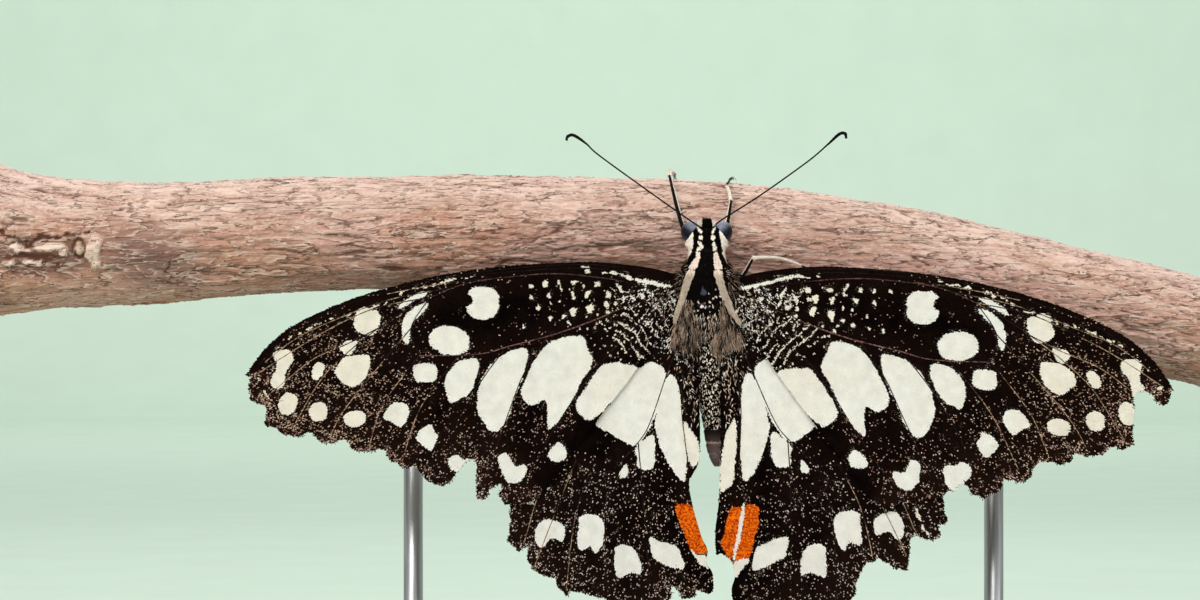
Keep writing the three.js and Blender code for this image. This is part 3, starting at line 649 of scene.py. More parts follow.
        faint = 0.12 + 0.88 * lattice(np.floor(places * 50), seed) ** fading
        strength = np.where(light & dust & ~pale & ~net, faint, light)
        return mark_rows(strength, fired, np.clip(warm, 0, 1), blue), loose & dust


# ---- Meshes -------------------------------------------------------------------------------------------
def mark_rows(*columns):
    """A row of four marks for each point, from columns or single numbers."""
    return np.stack(np.broadcast_arrays(*columns), 1) * 1.0


def write_marks(mesh, marks):
    colour = mesh.attributes.new("marks", "FLOAT_COLOR", "POINT")
    colour.data.foreach_set("color", marks.astype(np.float32).ravel())


def write_map(mesh, loops, maps):
    layer = mesh.uv_layers.new(name="OFBake")
    layer.data.foreach_set("uv", maps[loops].astype(np.float32).ravel())


def linked(name, data):
    """An object of the scene that shows a mesh, a light or the camera."""
    thing = bpy.data.objects.new(name, data)
    bpy.context.scene.collection.objects.link(thing)
    return thing


class Shape:
    """Points in millimetres with four marks each, faces, and a place on the bake map for each point."""

    def __init__(self):
        self.points, self.faces, self.marks, self.maps = [], [], [], []
        self.count = 0

    def add(self, points, faces, marks=(0, 0, 0, 0), maps=None):
        points = np.asarray(points, dtype=float)
        marks = np.broadcast_to(np.asarray(marks, dtype=float), (len(points), 4))
        maps = np.zeros((len(points), 2)) if maps is None else maps
        self.points.append(points)
        self.marks.append(marks)
        self.maps.append(maps)
        self.faces += [np.asarray(group) + self.count for group in faces if len(group)]
        self.count += len(points)

    def piece(self, name, material, slot, replaced=(), mapped=False, flat=False):
        mesh = bpy.data.meshes.new(name)
        points = np.concatenate(self.points) * MM
        loops = np.concatenate([group.ravel() for group in self.faces]).astype(np.int32)
        sizes = np.concatenate([np.full(len(group), group.shape[1]) for group in self.faces])
        starts = np.r_[0, np.cumsum(sizes)[:-1]].astype(np.int32)
        mesh.vertices.add(len(points))
        mesh.vertices.foreach_set("co", points.astype(np.float32).ravel())
        mesh.loops.add(len(loops))
        mesh.loops.foreach_set("vertex_index", loops)
        mesh.polygons.add(len(starts))
        mesh.polygons.foreach_set("loop_start", starts)
        mesh.update(calc_edges=True)
        write_marks(mesh, np.concatenate(self.marks))
        if mapped:
            write_map(mesh, loops, np.concatenate(self.maps))
        if not flat:
            mesh.shade_smooth()
        mesh.materials.append(material)
        thing = linked(name, mesh)
        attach(thing, "root")
        if replaced:
            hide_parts(*replaced)
        return thing


def grid_faces(rows, columns, wrap=False):
    """Quads over a grid of points in row order; wrap joins the last column to the first."""
    i, j = np.meshgrid(np.arange(rows - 1), np.arange(columns if wrap else columns - 1), indexing="ij")
    i, j = i.ravel(), j.ravel()
    k = (j + 1) % columns
    return np.stack([i * columns + j, i * columns + k, (i + 1) * columns + k, (i + 1) * columns + j], 1)


def fan_faces(middle, ring, turned=False):
    """Triangles from a middle point to the points of a ring."""
    ring = np.asarray(ring)
    after = np.roll(ring, -1)
    pair = (after, ring) if turned else (ring, after)
    return np.stack([np.full(len(ring), middle), *pair], 1)


def closed_faces(rows, sides):
    """Faces over rings of points, and over two more points that close the first and the last ring."""
    count = rows * sides
    caps = [fan_faces(count, np.arange(sides), True), fan_faces(count + 1, np.arange(sides) + count - sides)]
    return [grid_faces(rows, sides, wrap=True), np.concatenate(caps)]


def unit(vectors):
    return vectors / np.maximum(np.linalg.norm(vectors, axis=-1, keepdims=True), 1e-12)


def square_to(vectors, ways):
    """Vectors of length 1, turned square to ways."""
    return unit(vectors - ways * (vectors * ways).sum(1)[:, None])


def tube(shape, path, radii, sides=10, marks=(0, 0, 0, 0)):
    """A closed round tube along a path; marks may be one row for each point of the path."""
    path = np.asarray(path, dtype=float)
    radii = np.broadcast_to(radii, len(path))
    ahead = unit(np.gradient(path, axis=0))
    across = np.empty_like(path)
    side = np.array([0.02, -1.0, 0.03])
    for k, way in enumerate(ahead):
        side = side - way * (side @ way)
        side = side / np.linalg.norm(side)
        across[k] = side
    third = np.cross(ahead, across)
    angles = np.linspace(0, 2 * np.pi, sides, endpoint=False)
    ring = across[:, None] * np.cos(angles)[:, None] + third[:, None] * np.sin(angles)[:, None]
    points = (path[:, None] + ring * radii[:, None, None]).reshape(-1, 3)
    marks = np.broadcast_to(np.asarray(marks, dtype=float), (len(path), 4))
    marks = np.concatenate([np.repeat(marks, sides, axis=0), marks[:1], marks[-1:]])
    shape.add(np.concatenate([points, path[:1], path[-1:]]), closed_faces(len(path), sides), marks)


# ---- Materials ----------------------------------------------------------------------------------------
BLACK = (0, 0, 0, 1)
WHITE = (1, 1, 1, 1)


def srgb(red, green, blue):
    """A colour of 0 to 255 as the eye sees it, as light."""
    light = [(v / 255 / 12.92) if v <= 10 else ((v / 255 + 0.055) / 1.055) ** 2.4 for v in (red, green, blue)]
    return (*light, 1.0)


class Nodes:
    """A material's nodes, with short ways to add and join them."""

    def __init__(self, name, roughness, shine=0.5, **settings):
        self.material = bpy.data.materials.new(name)
        self.material.use_nodes = True
        self.tree = self.material.node_tree
        self.shader = self.tree.nodes["Principled BSDF"]
        self.shader.inputs["Roughness"].default_value = roughness
        self.shader.inputs["Specular IOR Level"].default_value = shine
        for key, value in settings.items():
            self.shader.inputs[key.replace("_", " ").title()].default_value = value

    def node(self, kind, inputs=None, **settings):
        """A new node, with its settings and with numbers or sockets on its inputs."""
        made = self.tree.nodes.new("ShaderNode" + kind)
        for key, value in settings.items():
            setattr(made, key, value)
        for key, value in (inputs or {}).items():
            self.join(value, made.inputs[key])
        return made

    def join(self, value, socket):
        if isinstance(value, bpy.types.NodeSocket):
            self.tree.links.new(value, socket)
        else:
            socket.default_value = value

    def mix(self, share, first, second, blend="MIX"):
        """The first colour with the second over it, by share."""
        made = self.node("Mix", data_type="RGBA", blend_type=blend)
        self.join(share, made.inputs["Factor"])
        self.join(first, made.inputs[6])
        self.join(second, made.inputs[7])
        return made.outputs[2]

    def marks(self):
        """Pale, orange and tone as sockets, and blue."""
        read = self.node("Attribute", attribute_name="marks")
        parts = self.node("SeparateColor", {"Color": read.outputs["Color"]})
        return parts.outputs[0], parts.outputs[1], parts.outputs[2], read.outputs["Alpha"]

    def noise(self, scale, detail, stretch=(1, 1, 1)):
        """Noise over the object; scale is in blobs per metre, and stretch squeezes them along an axis."""
        place = self.node("TexCoord").outputs["Object"]
        spread = self.node("Mapping", {"Vector": place, "Scale": stretch}).outputs["Vector"]
        return self.node("TexNoise", {"Vector": spread, "Scale": scale, "Detail": detail}).outputs["Fac"]

    def math(self, operation, *values):
        return self.node("Math", dict(enumerate(values)), operation=operation).outputs[0]

    def ramp(self, value, *stops):
        """Colours along a value from 0 to 1, from stops of (value, colour)."""
        made = self.node("ValToRGB", {"Fac": value})
        elements = made.color_ramp.elements
        while len(elements) < len(stops):
            elements.new(0.5)
        for element, (place, colour) in zip(elements, stops):
            element.position = place
            element.color = colour
        return made.outputs["Color"]

    def bump(self, height, strength, distance):
        made = self.node("Bump", {"Height": height, "Strength": strength, "Distance": distance})
        self.join(made.outputs["Normal"], self.shader.inputs["Normal"])

    def colour(self, value):
        self.join(value, self.shader.inputs["Base Color"])
        return self.material

    def grained(self, colour, scale, detail, shade, low=0.3, high=0.7, stretch=(1, 1, 1)):
        """The material in a colour that noise darkens towards shade."""
        grain = self.ramp(self.noise(scale, detail, stretch), (low, (*shade, 1)), (high, WHITE))
        return self.colour(self.mix(1.0, colour, grain, "MULTIPLY"))


def marked_colours(nodes, ground, ground_light, pale, beige, orange, blue):
    """The wing's colours where its marks say so, on a ground and a pale that each run between two tones."""
    pale_mark, orange_mark, tone, blue_mark = nodes.marks()
    dark = nodes.mix(tone, ground, ground_light)
    light = nodes.mix(tone, pale, beige)
    colour = nodes.mix(pale_mark, dark, light)
    colour = nodes.mix(orange_mark, colour, orange)
    return nodes.mix(blue_mark, colour, blue)


GROUND = srgb(3, 1, 1)
GROUND_LIGHT = srgb(34, 19, 13)
PALE = srgb(239, 236, 230)
BEIGE = srgb(240, 224, 202)
ORANGE = srgb(220, 84, 6)
BLUE = srgb(92, 122, 160)


def scale_material():
    nodes = Nodes("wing_scales", 0.85, 0.02)
    orange = nodes.ramp(nodes.noise(5600, 3), (0.4, srgb(176, 40, 2)), (0.6, srgb(250, 122, 20)))
    colour = marked_colours(nodes, GROUND, GROUND_LIGHT, PALE, BEIGE, orange, BLUE)
    return nodes.grained(colour, 900, 4, (0.86, 0.86, 0.86))


def membrane_material():
    nodes = Nodes("wing_membrane", 0.75, 0.04)
    bare = (srgb(4, 2, 2), srgb(24, 14, 11), srgb(226, 224, 208), srgb(224, 208, 182), ORANGE, BLUE)
    nodes.bump(nodes.noise(4000, 4), 0.35, 0.00004)
    return nodes.grained(marked_colours(nodes, *bare), 2500, 5, (0.8, 0.78, 0.76))


def vein_material():
    nodes = Nodes("wing_veins", 0.7, 0.05)
    worn, _, tone, _ = nodes.marks()
    colour = nodes.mix(tone, srgb(6, 3, 3), srgb(158, 112, 108))
    colour = nodes.mix(worn, colour, srgb(222, 184, 150))
    nodes.bump(nodes.noise(6000, 3), 0.4, 0.00003)
    return nodes.grained(colour, 4200, 4, (0.12, 0.1, 0.1), 0.38, 0.62)


# ---- Wings: membrane, veins, scales and fringe --------------------------------------------------------
MEMBRANE = {"half": 0.05, "rim": 0.02, "pitch": 0.45}
SCALES = {
    "top": {"row": 0.115, "beside": 0.087, "length": 0.23, "width": 0.125},
    "under": {"row": 0.14, "beside": 0.11, "length": 0.28, "width": 0.155},
}
DUST = {"dot": 0.2, "crumb": 0.34, "size": 0.85, "rise": 0.03}
VEIN = {"main": 0.2, "side": 0.13, "tip": 0.1, "lift": 0.045}
MAIN_VEINS = {"costal": 0.05, "subcosta": 0.05, "radius": 0.45, "cubitus": 0.95}


def membrane(wing, material):
    """A thin sheet of triangles with a front, a back and a narrow rim."""
    rim = wing.outline[::2]
    grid = sheet_grid(MEMBRANE["pitch"])
    grid[:, ::2, 0] += MEMBRANE["pitch"] / 2
    grid = grid.reshape(-1, 2)
    grid = grid[wing.margin(grid)[0] > 0.25]
    places = [Vector(place) for place in np.concatenate([rim, grid])]
    made = delaunay_2d_cdt(places, [], [list(range(len(rim)))], 1, 1e-4)
    places = np.array([tuple(place) for place in made[0]])
    faces = np.array(made[2])
    a, b, c = (places[faces[:, k]] for k in range(3))
    area = (b[:, 0] - a[:, 0]) * (c[:, 1] - a[:, 1]) - (b[:, 1] - a[:, 1]) * (c[:, 0] - a[:, 0])
    faces = np.where((area < 0)[:, None], faces[:, ::-1], faces)
    if wing.place["sign"] < 0:
        faces = faces[:, ::-1]
    sides = np.concatenate([faces[:, [0, 1]], faces[:, [1, 2]], faces[:, [2, 0]]])
    known = set(map(tuple, sides.tolist()))
    border = np.array([(p, q) for p, q in known if (q, p) not in known])
    half = np.full(len(places), MEMBRANE["half"])
    half[np.unique(border)] = MEMBRANE["rim"]
    total = len(places)
    band = np.stack([border[:, 1], border[:, 0], border[:, 0] + total, border[:, 1] + total], 1)
    jitter = lattice(np.floor(places * 40), 77)
    marks = [wing.marks(top, places, jitter)[0] for top in (True, False)]
    points = [wing.set(places, lift) for lift in (half, -half)]
    shape = Shape()
    shape.add(np.concatenate(points), [np.concatenate([faces, faces[:, ::-1] + total]), band],
              np.concatenate(marks), np.concatenate([wing.map(places)] * 2))
    shape.piece(wing.name + "_membrane", material, "wing", [wing.name], mapped=True)


def vein_ridges(wing, material):
    """Round veins that stand out of the scales: brown near the root, and worn pale towards the margin."""
    shape = Shape()
    for key, points in wing.veins.items():
        path = even(spline(points, 8), 0.35)
        path = path[wing.margin(path)[0] > 0.05]
        main = key in MAIN_VEINS and wing.fore
        share = np.linspace(0, 1, len(path))
        width = VEIN["main"] if main else VEIN["side"]
        radii = (width + (VEIN["tip"] - width) * share**0.8) / 2
        radii = radii * (1 - 0.7 * main * smooth(7.5, 4.5, path[:, 0]))
        beyond_cell = key[-1].isdigit() and key not in ("cubital_1", "cubital_2")
        worn = 0.75 * smooth(0.25, 0.6, share + 0.4 * rough(path, 1.5, wing.seed)) * beyond_cell
        tone = np.full(len(path), MAIN_VEINS[key] if main else 0.1) * noise(path, 1.2, wing.seed + 3) ** 0.5
        tube(shape, wing.set(path, VEIN["lift"]), radii, 6, mark_rows(worn, 0, tone, 0))
    shape.piece(wing.name + "_veins", material, "wing")


BAKE_PATCH = 0.003
PADDLE = [(0, 0, -0.3), (0.55, 0.5, 0.5), (1, 0.24, 1), (1, -0.24, 1), (0.55, -0.5, 0.5)]


def paddles(shape, roots, ways, normals, lengths, widths, rise, marks, maps):
    """Scales: flat paddles whose root is sunk in the skin and whose tip stands off it by rise."""
    count = len(roots)
    across = unit(np.cross(ways, normals))
    points = np.stack([
        roots + ways * (along * lengths)[:, None] + across * (beside * widths)[:, None]
        + normals * (high * rise)[:, None]
        for along, beside, high in PADDLE
    ], axis=1)
    base = np.arange(count)[:, None] * len(PADDLE)
    repeated = np.repeat(marks, len(PADDLE), axis=0)
    spread = np.array([(beside, along - 0.5) for along, beside, _ in PADDLE]) * BAKE_PATCH
    patch = (maps[:, None] + spread).reshape(-1, 2)
    shape.add(points.reshape(-1, 3), [base + [1, 2, 3, 4], base + [0, 1, 4]], repeated, patch)


def wing_scales(wing, top, material):
    """Rows of scales that overlap like tiles, each row on an arc about the wing's root."""
    size = SCALES["top" if top else "under"]
    away = wing.outline - wing.root
    reach = np.hypot(away[:, 0], away[:, 1])
    angle = np.arctan2(away[:, 1], away[:, 0])
    rng = np.random.default_rng(wing.seed + top)
    rows = []
    for k, radius in enumerate(np.arange(1.0, reach.max() + 0.3, size["row"])):
        step = size["beside"] / radius
        turns = np.arange(angle.min() - 0.02, angle.max() + 0.02, step) + (k % 2) * 0.5 * step
        rows.append(wing.root + radius * np.stack([np.cos(turns), np.sin(turns)], 1))
    places = np.concatenate(rows)
    places += rng.normal(0, 0.14, places.shape) * size["beside"]
    edge, outer = wing.margin(places)
    bare = 0.01 + 0.7 * np.exp(-((wing.vein(places)[0] / 0.07) ** 2)) + 0.2 * outer * np.exp(-edge / 0.4)
    keep = (edge > 0.02) & (rng.random(len(places)) > bare)
    places = places[keep]
    count = len(places)
    marks, dust = wing.marks(top, places, rng.random(count))
    marks[:, 2] = np.clip(marks[:, 2] + rng.normal(0, 0.1, count), 0, 1)
    way = turned_by(unit(places - wing.root), rng.normal(0, 0.16, count))
    lift = MEMBRANE["half"] if top else -MEMBRANE["half"]
    starts, ways, normals = wing.directions(places, way, lift)
    rise = np.abs(rng.normal(0.022, 0.01, count)) + 0.008 + DUST["rise"] * dust
    small = np.where(dust, DUST["size"], 1.0)
    shape = Shape()
    paddles(shape, starts, ways, normals, size["length"] * rng.uniform(0.85, 1.12, count) * small,
            size["width"] * rng.uniform(0.88, 1.12, count) * small, rise, marks, wing.map(places))
    if top:
        fringe(wing, shape, rng)
    piece = "_upper_scales" if top else "_under_scales"
    shape.piece(wing.name + piece, material, "wing", mapped=True, flat=True)


def fringe(wing, shape, rng):
    """Worn hair-like scales along the outer margin: pale in the notches, dark on the teeth."""
    rim, outward = wing.outline[wing.outer], wing.outward[wing.outer]
    even_out = np.stack([np.convolve(np.pad(column, 12, mode="edge"), np.full(25, 0.04), mode="valid")
                         for column in rim.T], axis=1)
    proud = ((rim - even_out) * outward).sum(1)
    pick = np.repeat(np.arange(len(rim)), 2)
    pick = pick[rng.random(len(pick)) < 0.6]
    count = len(pick)
    places = rim[pick] - outward[pick] * 0.08 + rng.normal(0, 0.04, (count, 2))
    pale = rng.random(count) < np.where(proud[pick] < 0, 0.75, 0.18)
    marks = mark_rows(pale, 0, rng.uniform(0.1, 0.7, count), 0)
    starts, ways, normals = wing.directions(places, turned_by(outward[pick], rng.normal(0, 0.3, count)), 0.0)
    normals = unit(normals + rng.normal(0, 0.2, (count, 3)))
    paddles(shape, starts, ways, normals, rng.uniform(0.15, 0.34, count), rng.uniform(0.05, 0.1, count),
            np.full(count, 0.01), marks, wing.map(places))


def make_wings(wings):
    """Each wing's membrane, its veins, and its scales above and below."""
    scales, skin, ridges = scale_material(), membrane_material(), vein_material()
    for wing in wings:
        membrane(wing, skin)
        vein_ridges(wing, ridges)
        wing_scales(wing, True, scales)
        wing_scales(wing, False, scales)


# ---- Body: shape --------------------------------------------------------------------------------------
# Stations from head to tail, as in the CAD model: z, x, y, half width, half depth. The skin lies inside
# them by the depth of the coat.
BODY = [
    (54.0, 0, 0.9, 0.42, 0.48), (53.7, 0, 0.95, 0.88, 0.98), (53.0, 0, 1.0, 1.32, 1.32),
    (52.2, 0, 1.0, 1.82, 1.42), (51.6, 0, 1.0, 2.1, 1.36), (51.2, 0, 0.97, 1.94, 1.24),
    (50.9, 0, 0.95, 1.84, 1.28), (50.2, 0, 0.9, 1.9, 1.66), (49.2, 0, 0.85, 2.22, 2.05),
    (48.2, 0, 0.8, 2.65, 2.45), (46.6, -0.03, 0.8, 2.85, 2.7), (44.8, -0.06, 0.85, 2.9, 2.66),
    (43.2, -0.05, 0.95, 2.5, 2.32), (42.0, 0, 1.05, 1.95, 1.92), (41.2, 0.03, 1.12, 1.62, 1.72),
    (40.0, 0.12, 1.2, 1.74, 1.88), (38.5, 0.28, 1.4, 1.7, 1.84), (37.0, 0.45, 1.58, 1.56, 1.7),
    (35.4, 0.62, 1.75, 1.33, 1.47), (33.8, 0.77, 1.92, 1.14, 1.28), (32.2, 0.9, 2.06, 1.02, 1.14),
    (31.0, 0.98, 2.16, 0.88, 1.0), (30.0, 1.03, 2.24, 0.6, 0.72), (29.4, 1.06, 2.28, 0.28, 0.32),
]
SEGMENT_RINGS = (40.9, 39.3, 37.7, 36.1, 34.6, 33.1, 31.7, 30.55)
# Low ridges down the middle of the thorax: rise, width as an angle, middle height and half length.
CRESTS = [(0.16, 0.55, 46.3, 2.2), (0.1, 0.4, 43.6, 0.9)]
BODY_MAP = {"share": 0.47, "foot": 28.5, "tall": 26.5}
SKIN = {"rings": 260, "sides": 96, "voxel": 0.11}
EYE = {"x": 1.5, "y": 1.15, "z": 52.8, "radii": (1.08, 1.22, 1.14), "lean": 0.3}
PALP = {"points": [(0.42, 2.1, 52.2), (0.46, 2.72, 53.1), (0.43, 2.66, 53.8), (0.36, 2.25, 54.0)],
        "radii": [0.3, 0.36, 0.32, 0.16]}
SHOULDER = {"x": 2.7, "y": -0.3, "z": 47.2, "radii": (0.75, 0.8, 1.5), "hairs": 1300}
BODY_LINE = spline(np.array(BODY, dtype=float), 8)[::-1]


def body_axis(z):
    """The body's centre and half sizes at a height."""
    return [np.interp(z, BODY_LINE[:, 0], BODY_LINE[:, k]) for k in (1, 2, 3, 4)]


def body_surface(z, angle):
    """A point of the bare body: angle 0 faces the viewer, and grows to the viewer's right."""
    x, y, wide, deep = body_axis(z)
    belt = sum(np.exp(-(((z - ring) / 0.16) ** 2)) for ring in SEGMENT_RINGS)
    swell = 1 - 0.05 * belt
    crest = sum(rise * np.exp(-((angle / spread) ** 2) - ((z - middle) / half) ** 2)
                for rise, spread, middle, half in CRESTS)
    across = np.sin(angle) * wide * swell
    ahead = np.cos(angle) * (deep * swell + crest)
    return np.stack([x + across, BUTTERFLY_Y + y - ahead, z], axis=-1)


def body_angle(points):
    """How far round the body points lie, as body_surface measures it."""
    x, y, _, _ = body_axis(points[:, 2])
    return np.arctan2(points[:, 0] - x, -(points[:, 1] - BUTTERFLY_Y - y))


def body_map(points):
    """The body's unwrap: round the body by height."""
    across = 0.5 + BODY_MAP["share"] * body_angle(points) / np.pi
    return np.stack([across, (points[:, 2] - BODY_MAP["foot"]) / BODY_MAP["tall"]], axis=1)


# ---- Body: markings, as seen from straight ahead (x, z) -----------------------------------------------
BODY_MARKS = [
    # wedges behind the eyes
    blob((-1.37, 52.8), (-1.5, 52.7), (-1.8, 52.25), (-2.15, 51.75), (-2.2, 51.4), (-1.95, 51.15),
         (-1.5, 51.1), (-1.37, 51.6), (-1.33, 52.2)),
    streak(0.42, (-1.6, 51.2), (-1.75, 50.8), (-1.98, 50.4), (-2.1, 49.9)),
    blob((1.24, 52.92), (1.4, 52.8), (1.85, 52.3), (2.3, 51.8), (2.3, 51.4), (2.0, 51.0), (1.7, 50.85),
         (1.5, 51.2), (1.38, 51.8), (1.25, 52.4)),
    streak(0.4, (1.65, 51.0), (1.72, 50.6), (1.95, 50.2), (2.05, 49.7)),
    # crown and neck
    blob((-0.95, 53.95), (-0.5, 53.95), (-0.5, 53.3), (-0.85, 53.55)),
    blob((0.45, 53.95), (0.95, 53.95), (0.8, 53.5), (0.45, 53.35)),
    streak(0.26, (-1.0, 53.4), (-0.8, 53.1), (-0.55, 52.65)), oval(-0.62, 52.25, 0.2, 0.22),
    streak(0.26, (0.85, 53.45), (0.7, 53.1), (0.45, 52.6)), oval(0.56, 52.25, 0.22, 0.24),
    streak(0.36, (-0.85, 51.85), (-0.6, 51.5), (-0.5, 51.15)), oval(-0.85, 51.1, 0.22, 0.2),
    streak(0.36, (0.65, 51.85), (0.7, 51.4), (0.95, 50.95)), oval(0.72, 51.05, 0.14, 0.18),
    # collar stripes
    blob((-1.1, 50.8), (-0.72, 50.75), (-0.7, 50.2), (-0.9, 49.6), (-1.05, 49.15), (-1.7, 49.1),
         (-1.8, 49.25), (-1.5, 49.8), (-1.12, 50.3)),
    blob((0.65, 50.65), (1.0, 50.8), (1.12, 50.4), (1.25, 50.0), (1.5, 49.15), (0.72, 49.1), (0.64, 49.6)),
]
# The long stripes of the thorax run on over the shoulders: for each side rows of a height, and there the
# outer and inner edge.
STRIPES = {
    -1: [(43.8, -3.4, -3.1), (45.05, -3.13, -2.65), (46.0, -2.84, -2.23), (47.3, -2.49, -1.82),
         (48.0, -2.3, -1.56), (48.95, -1.88, -1.25)],
    1: [(43.7, 3.45, 3.15), (44.4, 2.95, 2.4), (45.05, 2.6, 1.9), (46.0, 2.26, 1.52), (47.3, 1.77, 1.07),
        (48.0, 1.55, 0.81), (48.9, 1.45, 0.6)],
}
BODY_MARKS += [blob(*[(outer, z) for z, outer, _ in rows], *[(inner, z) for z, _, inner in rows[::-1]])
               for rows in STRIPES.values()]
# Bare plates of the thorax, where the scales are left out; their blue-grey colour is a painted sheen, a
# painted highlight on glossy plates.
BARE_SHEEN_SPOTS = [oval(-0.47, 47.15, 0.1, 0.25), oval(-0.38, 46.75, 0.3, 0.38, 0, 2),
              streak(0.26, (-1.0, 45.4), (-0.6, 45.62), (-0.2, 45.45), (0.1, 45.1))]
PALE_RINGS = {31.7: 0.11, 30.55: 0.1}


def body_marks(points, jitter):
    """Pale, bare (blue-grey, a painted sheen), tone and blue for places of the body or its coat."""
    flat_places = points[:, [0, 2]]
    turned = body_angle(points)
    angle = np.abs(turned)
    z = points[:, 2]
    ahead = angle < 1.75
    bold = (joined_distance(BODY_MARKS, flat_places) < 0) & ahead
    bare = (joined_distance(BARE_SHEEN_SPOTS, flat_places) < 0) & ahead
    around = np.stack([1.8 * turned, z], 1)
    in_dot, chance = dots(around, 0.23, 61)
    crowd = 0.3 * smooth(47.4, 45.6, z) * smooth(0.3, 0.6, noise(around, 0.7, 62))
    crowd = np.maximum(crowd, 0.5 * smooth(42.6, 41.4, z))
    crowd = np.where(angle > 0.9, np.maximum(crowd, 0.5 * smooth(50, 47, z)), crowd)
    fine = lattice(np.floor(around * 9), 63) < 0.3 * crowd
    speck = ((in_dot & (chance < crowd)) | fine) & (z > 33.0) & ~bare
    rings = np.any([np.abs(z - ring) < half for ring, half in PALE_RINGS.items()], axis=0)
    flank = (angle > 1.75) & (np.cos(3.2 * (angle - 2.5)) > -0.2) & (z < 50.5)
    tone = np.clip(0.1 + 0.4 * noise(points, 1.2, 64) + 0.3 * jitter, 0, 1)
    tone = np.where(bold, 0.25 * smooth(53, 50, z) + 0.5 * smooth(49, 45, z) + 0.25 * jitter, tone)
    tone = np.where(z < 33.0, 0.75 + 0.25 * tone, tone)
    return mark_rows(bold | speck | rings | flank, bare, tone, smooth(33.2, 30.5, z))


def skin_material():
    nodes = Nodes("body_skin", 0.7, 0.08)
    pale, bare, tone, tail = nodes.marks()
    colour = nodes.mix(tone, srgb(8, 5, 5), srgb(26, 17, 14))
    colour = nodes.mix(tail, colour, srgb(112, 90, 92))
    # Bare spots get a blue-grey colour: a painted sheen on the glossy plates.
    colour = nodes.mix(bare, colour, srgb(72, 72, 92))
    colour = nodes.mix(pale, colour, srgb(226, 204, 176))
    nodes.bump(nodes.noise(7000, 3), 0.5, 0.00005)
    return nodes.grained(colour, 5000, 4, (0.72, 0.7, 0.68))


def ellipsoid(shape, centre, radii, lean=0.0, sides=36, rows=24):
    """A closed egg shape whose poles point left and right; lean turns it about its Y axis."""
    across = np.linspace(0, np.pi, rows + 1)[1:-1]
    a, b = pairs(across, np.linspace(0, 2 * np.pi, sides, endpoint=False)).reshape(-1, 2).T
    ball = np.stack([-np.cos(a), np.sin(a) * np.cos(b), np.sin(a) * np.sin(b)], -1)
    x, y, z = (np.concatenate([ball, [(-1, 0, 0), (1, 0, 0)]]) * radii).T
    c, s = math.cos(lean), math.sin(lean)
    shape.add(np.stack([x * c + z * s, y, z * c - x * s], 1) + centre, closed_faces(rows - 1, sides))


# Each leg's joints, as in the CAD model: hip, knee, ankle, a joint of the foot and the toe.
LEGS = {
    "foreleg_left": [(-1.2, 2.6, 50.6), (-3.6, 6.3, 58.7), (-3.3, 9.0, 58.9), (-3.0, 11.4, 59.1),
                     (-2.9, 13.6, 58.7)],
    "foreleg_right": [(1.2, 2.6, 50.6), (2.6, 5.4, 56.1), (2.2, 7.6, 57.6), (2.7, 9.8, 58.5),
                      (3.1, 12.0, 58.6)],
    "midleg_left": [(-1.6, 3.2, 47.6), (-5.2, 3.6, 48.4), (-9.4, 5.6, 48.9), (-11.4, 6.1, 48.8),
                    (-13.0, 6.3, 48.7)],
    "midleg_right": [(1.6, 3.2, 47.2), (4.7, 3.2, 50.2), (9.7, 4.5, 49.5), (11.6, 5.1, 48.6),
                     (13.2, 5.3, 47.8)],
    "hindleg_left": [(-1.6, 3.2, 45.2), (-4.6, 5.6, 41.4), (-6.8, 8.2, 45.6), (-7.5, 9.6, 46.6),
                     (-8.2, 11.2, 46.8)],
    "hindleg_right": [(1.6, 3.2, 45.2), (4.6, 5.6, 41.4), (6.4, 8.2, 45.2), (7.2, 9.6, 46.1),
                      (8.0, 11.2, 46.2)],
}


def own(points):
    """Points given in the butterfly's own depth."""
    return np.asarray(points, dtype=float) + (0, BUTTERFLY_Y, 0)


def ball_middle(ball, side):
    """The middle of an eye or a shoulder on one side of the body."""
    return own((side * ball["x"], ball["y"], ball["z"]))


def make_skin():
    """Head, thorax, abdomen, palps and hips, fused into one skin."""
    shape = Shape()
    z = np.linspace(BODY[0][0], BODY[-1][0], SKIN["rings"])
    angle = np.linspace(0, 2 * np.pi, SKIN["sides"], endpoint=False)
    points = body_surface(*pairs(z, angle).reshape(-1, 2).T)
    ends = [points[: len(angle)].mean(0), points[-len(angle) :].mean(0)]
    shape.add(np.concatenate([points, ends]), closed_faces(len(z), len(angle)))
    for side in (-1, 1):
        palp = own(PALP["points"]) * (side, 1, 1)
        tube(shape, spline(palp, 5), np.interp(np.linspace(0, 3, 16), range(4), PALP["radii"]), 14)
        ellipsoid(shape, ball_middle(SHOULDER, side), SHOULDER["radii"])
    for joints in LEGS.values():
        hip = own(joints[:2])
        path = hip[0] + (hip[1] - hip[0]) * np.linspace(-0.15, 0.16, 8)[:, None]
        tube(shape, path, np.linspace(0.62, 0.3, 8), 12)
    source = shape.piece("body_skin", None, "body")
    source.data.transform(Matrix.Scale(1 / MM, 4))
    remesh = source.modifiers.new("fuse", "REMESH")
    remesh.mode = "VOXEL"
    remesh.voxel_size = SKIN["voxel"]
    soften = source.modifiers.new("soften", "SMOOTH")
    soften.factor = 0.5
    soften.iterations = 3
    bpy.context.view_layer.update()
    fused = bpy.data.meshes.new_from_object(source.evaluated_get(bpy.context.evaluated_depsgraph_get()))
    source.modifiers.clear()
    source.data = fused
    points = np.empty(len(fused.vertices) * 3, dtype=np.float32)
    fused.vertices.foreach_get("co", points)
    points = points.reshape(-1, 3).astype(float)
    for old in [layer for layer in fused.attributes if layer.name == "marks"]:
        fused.attributes.remove(old)
    write_marks(fused, body_marks(points, lattice(np.floor(points * 12), 71)))
    loops = np.empty(len(fused.loops), dtype=np.int32)
    fused.loops.foreach_get("vertex_index", loops)
    write_map(fused, loops, body_map(points))
    fused.transform(Matrix.Scale(MM, 4))
    fused.shade_smooth()
    fused.materials.clear()
    fused.materials.append(skin_material())
    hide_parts("head", "thorax", "abdomen", "palp_left", "palp_right")


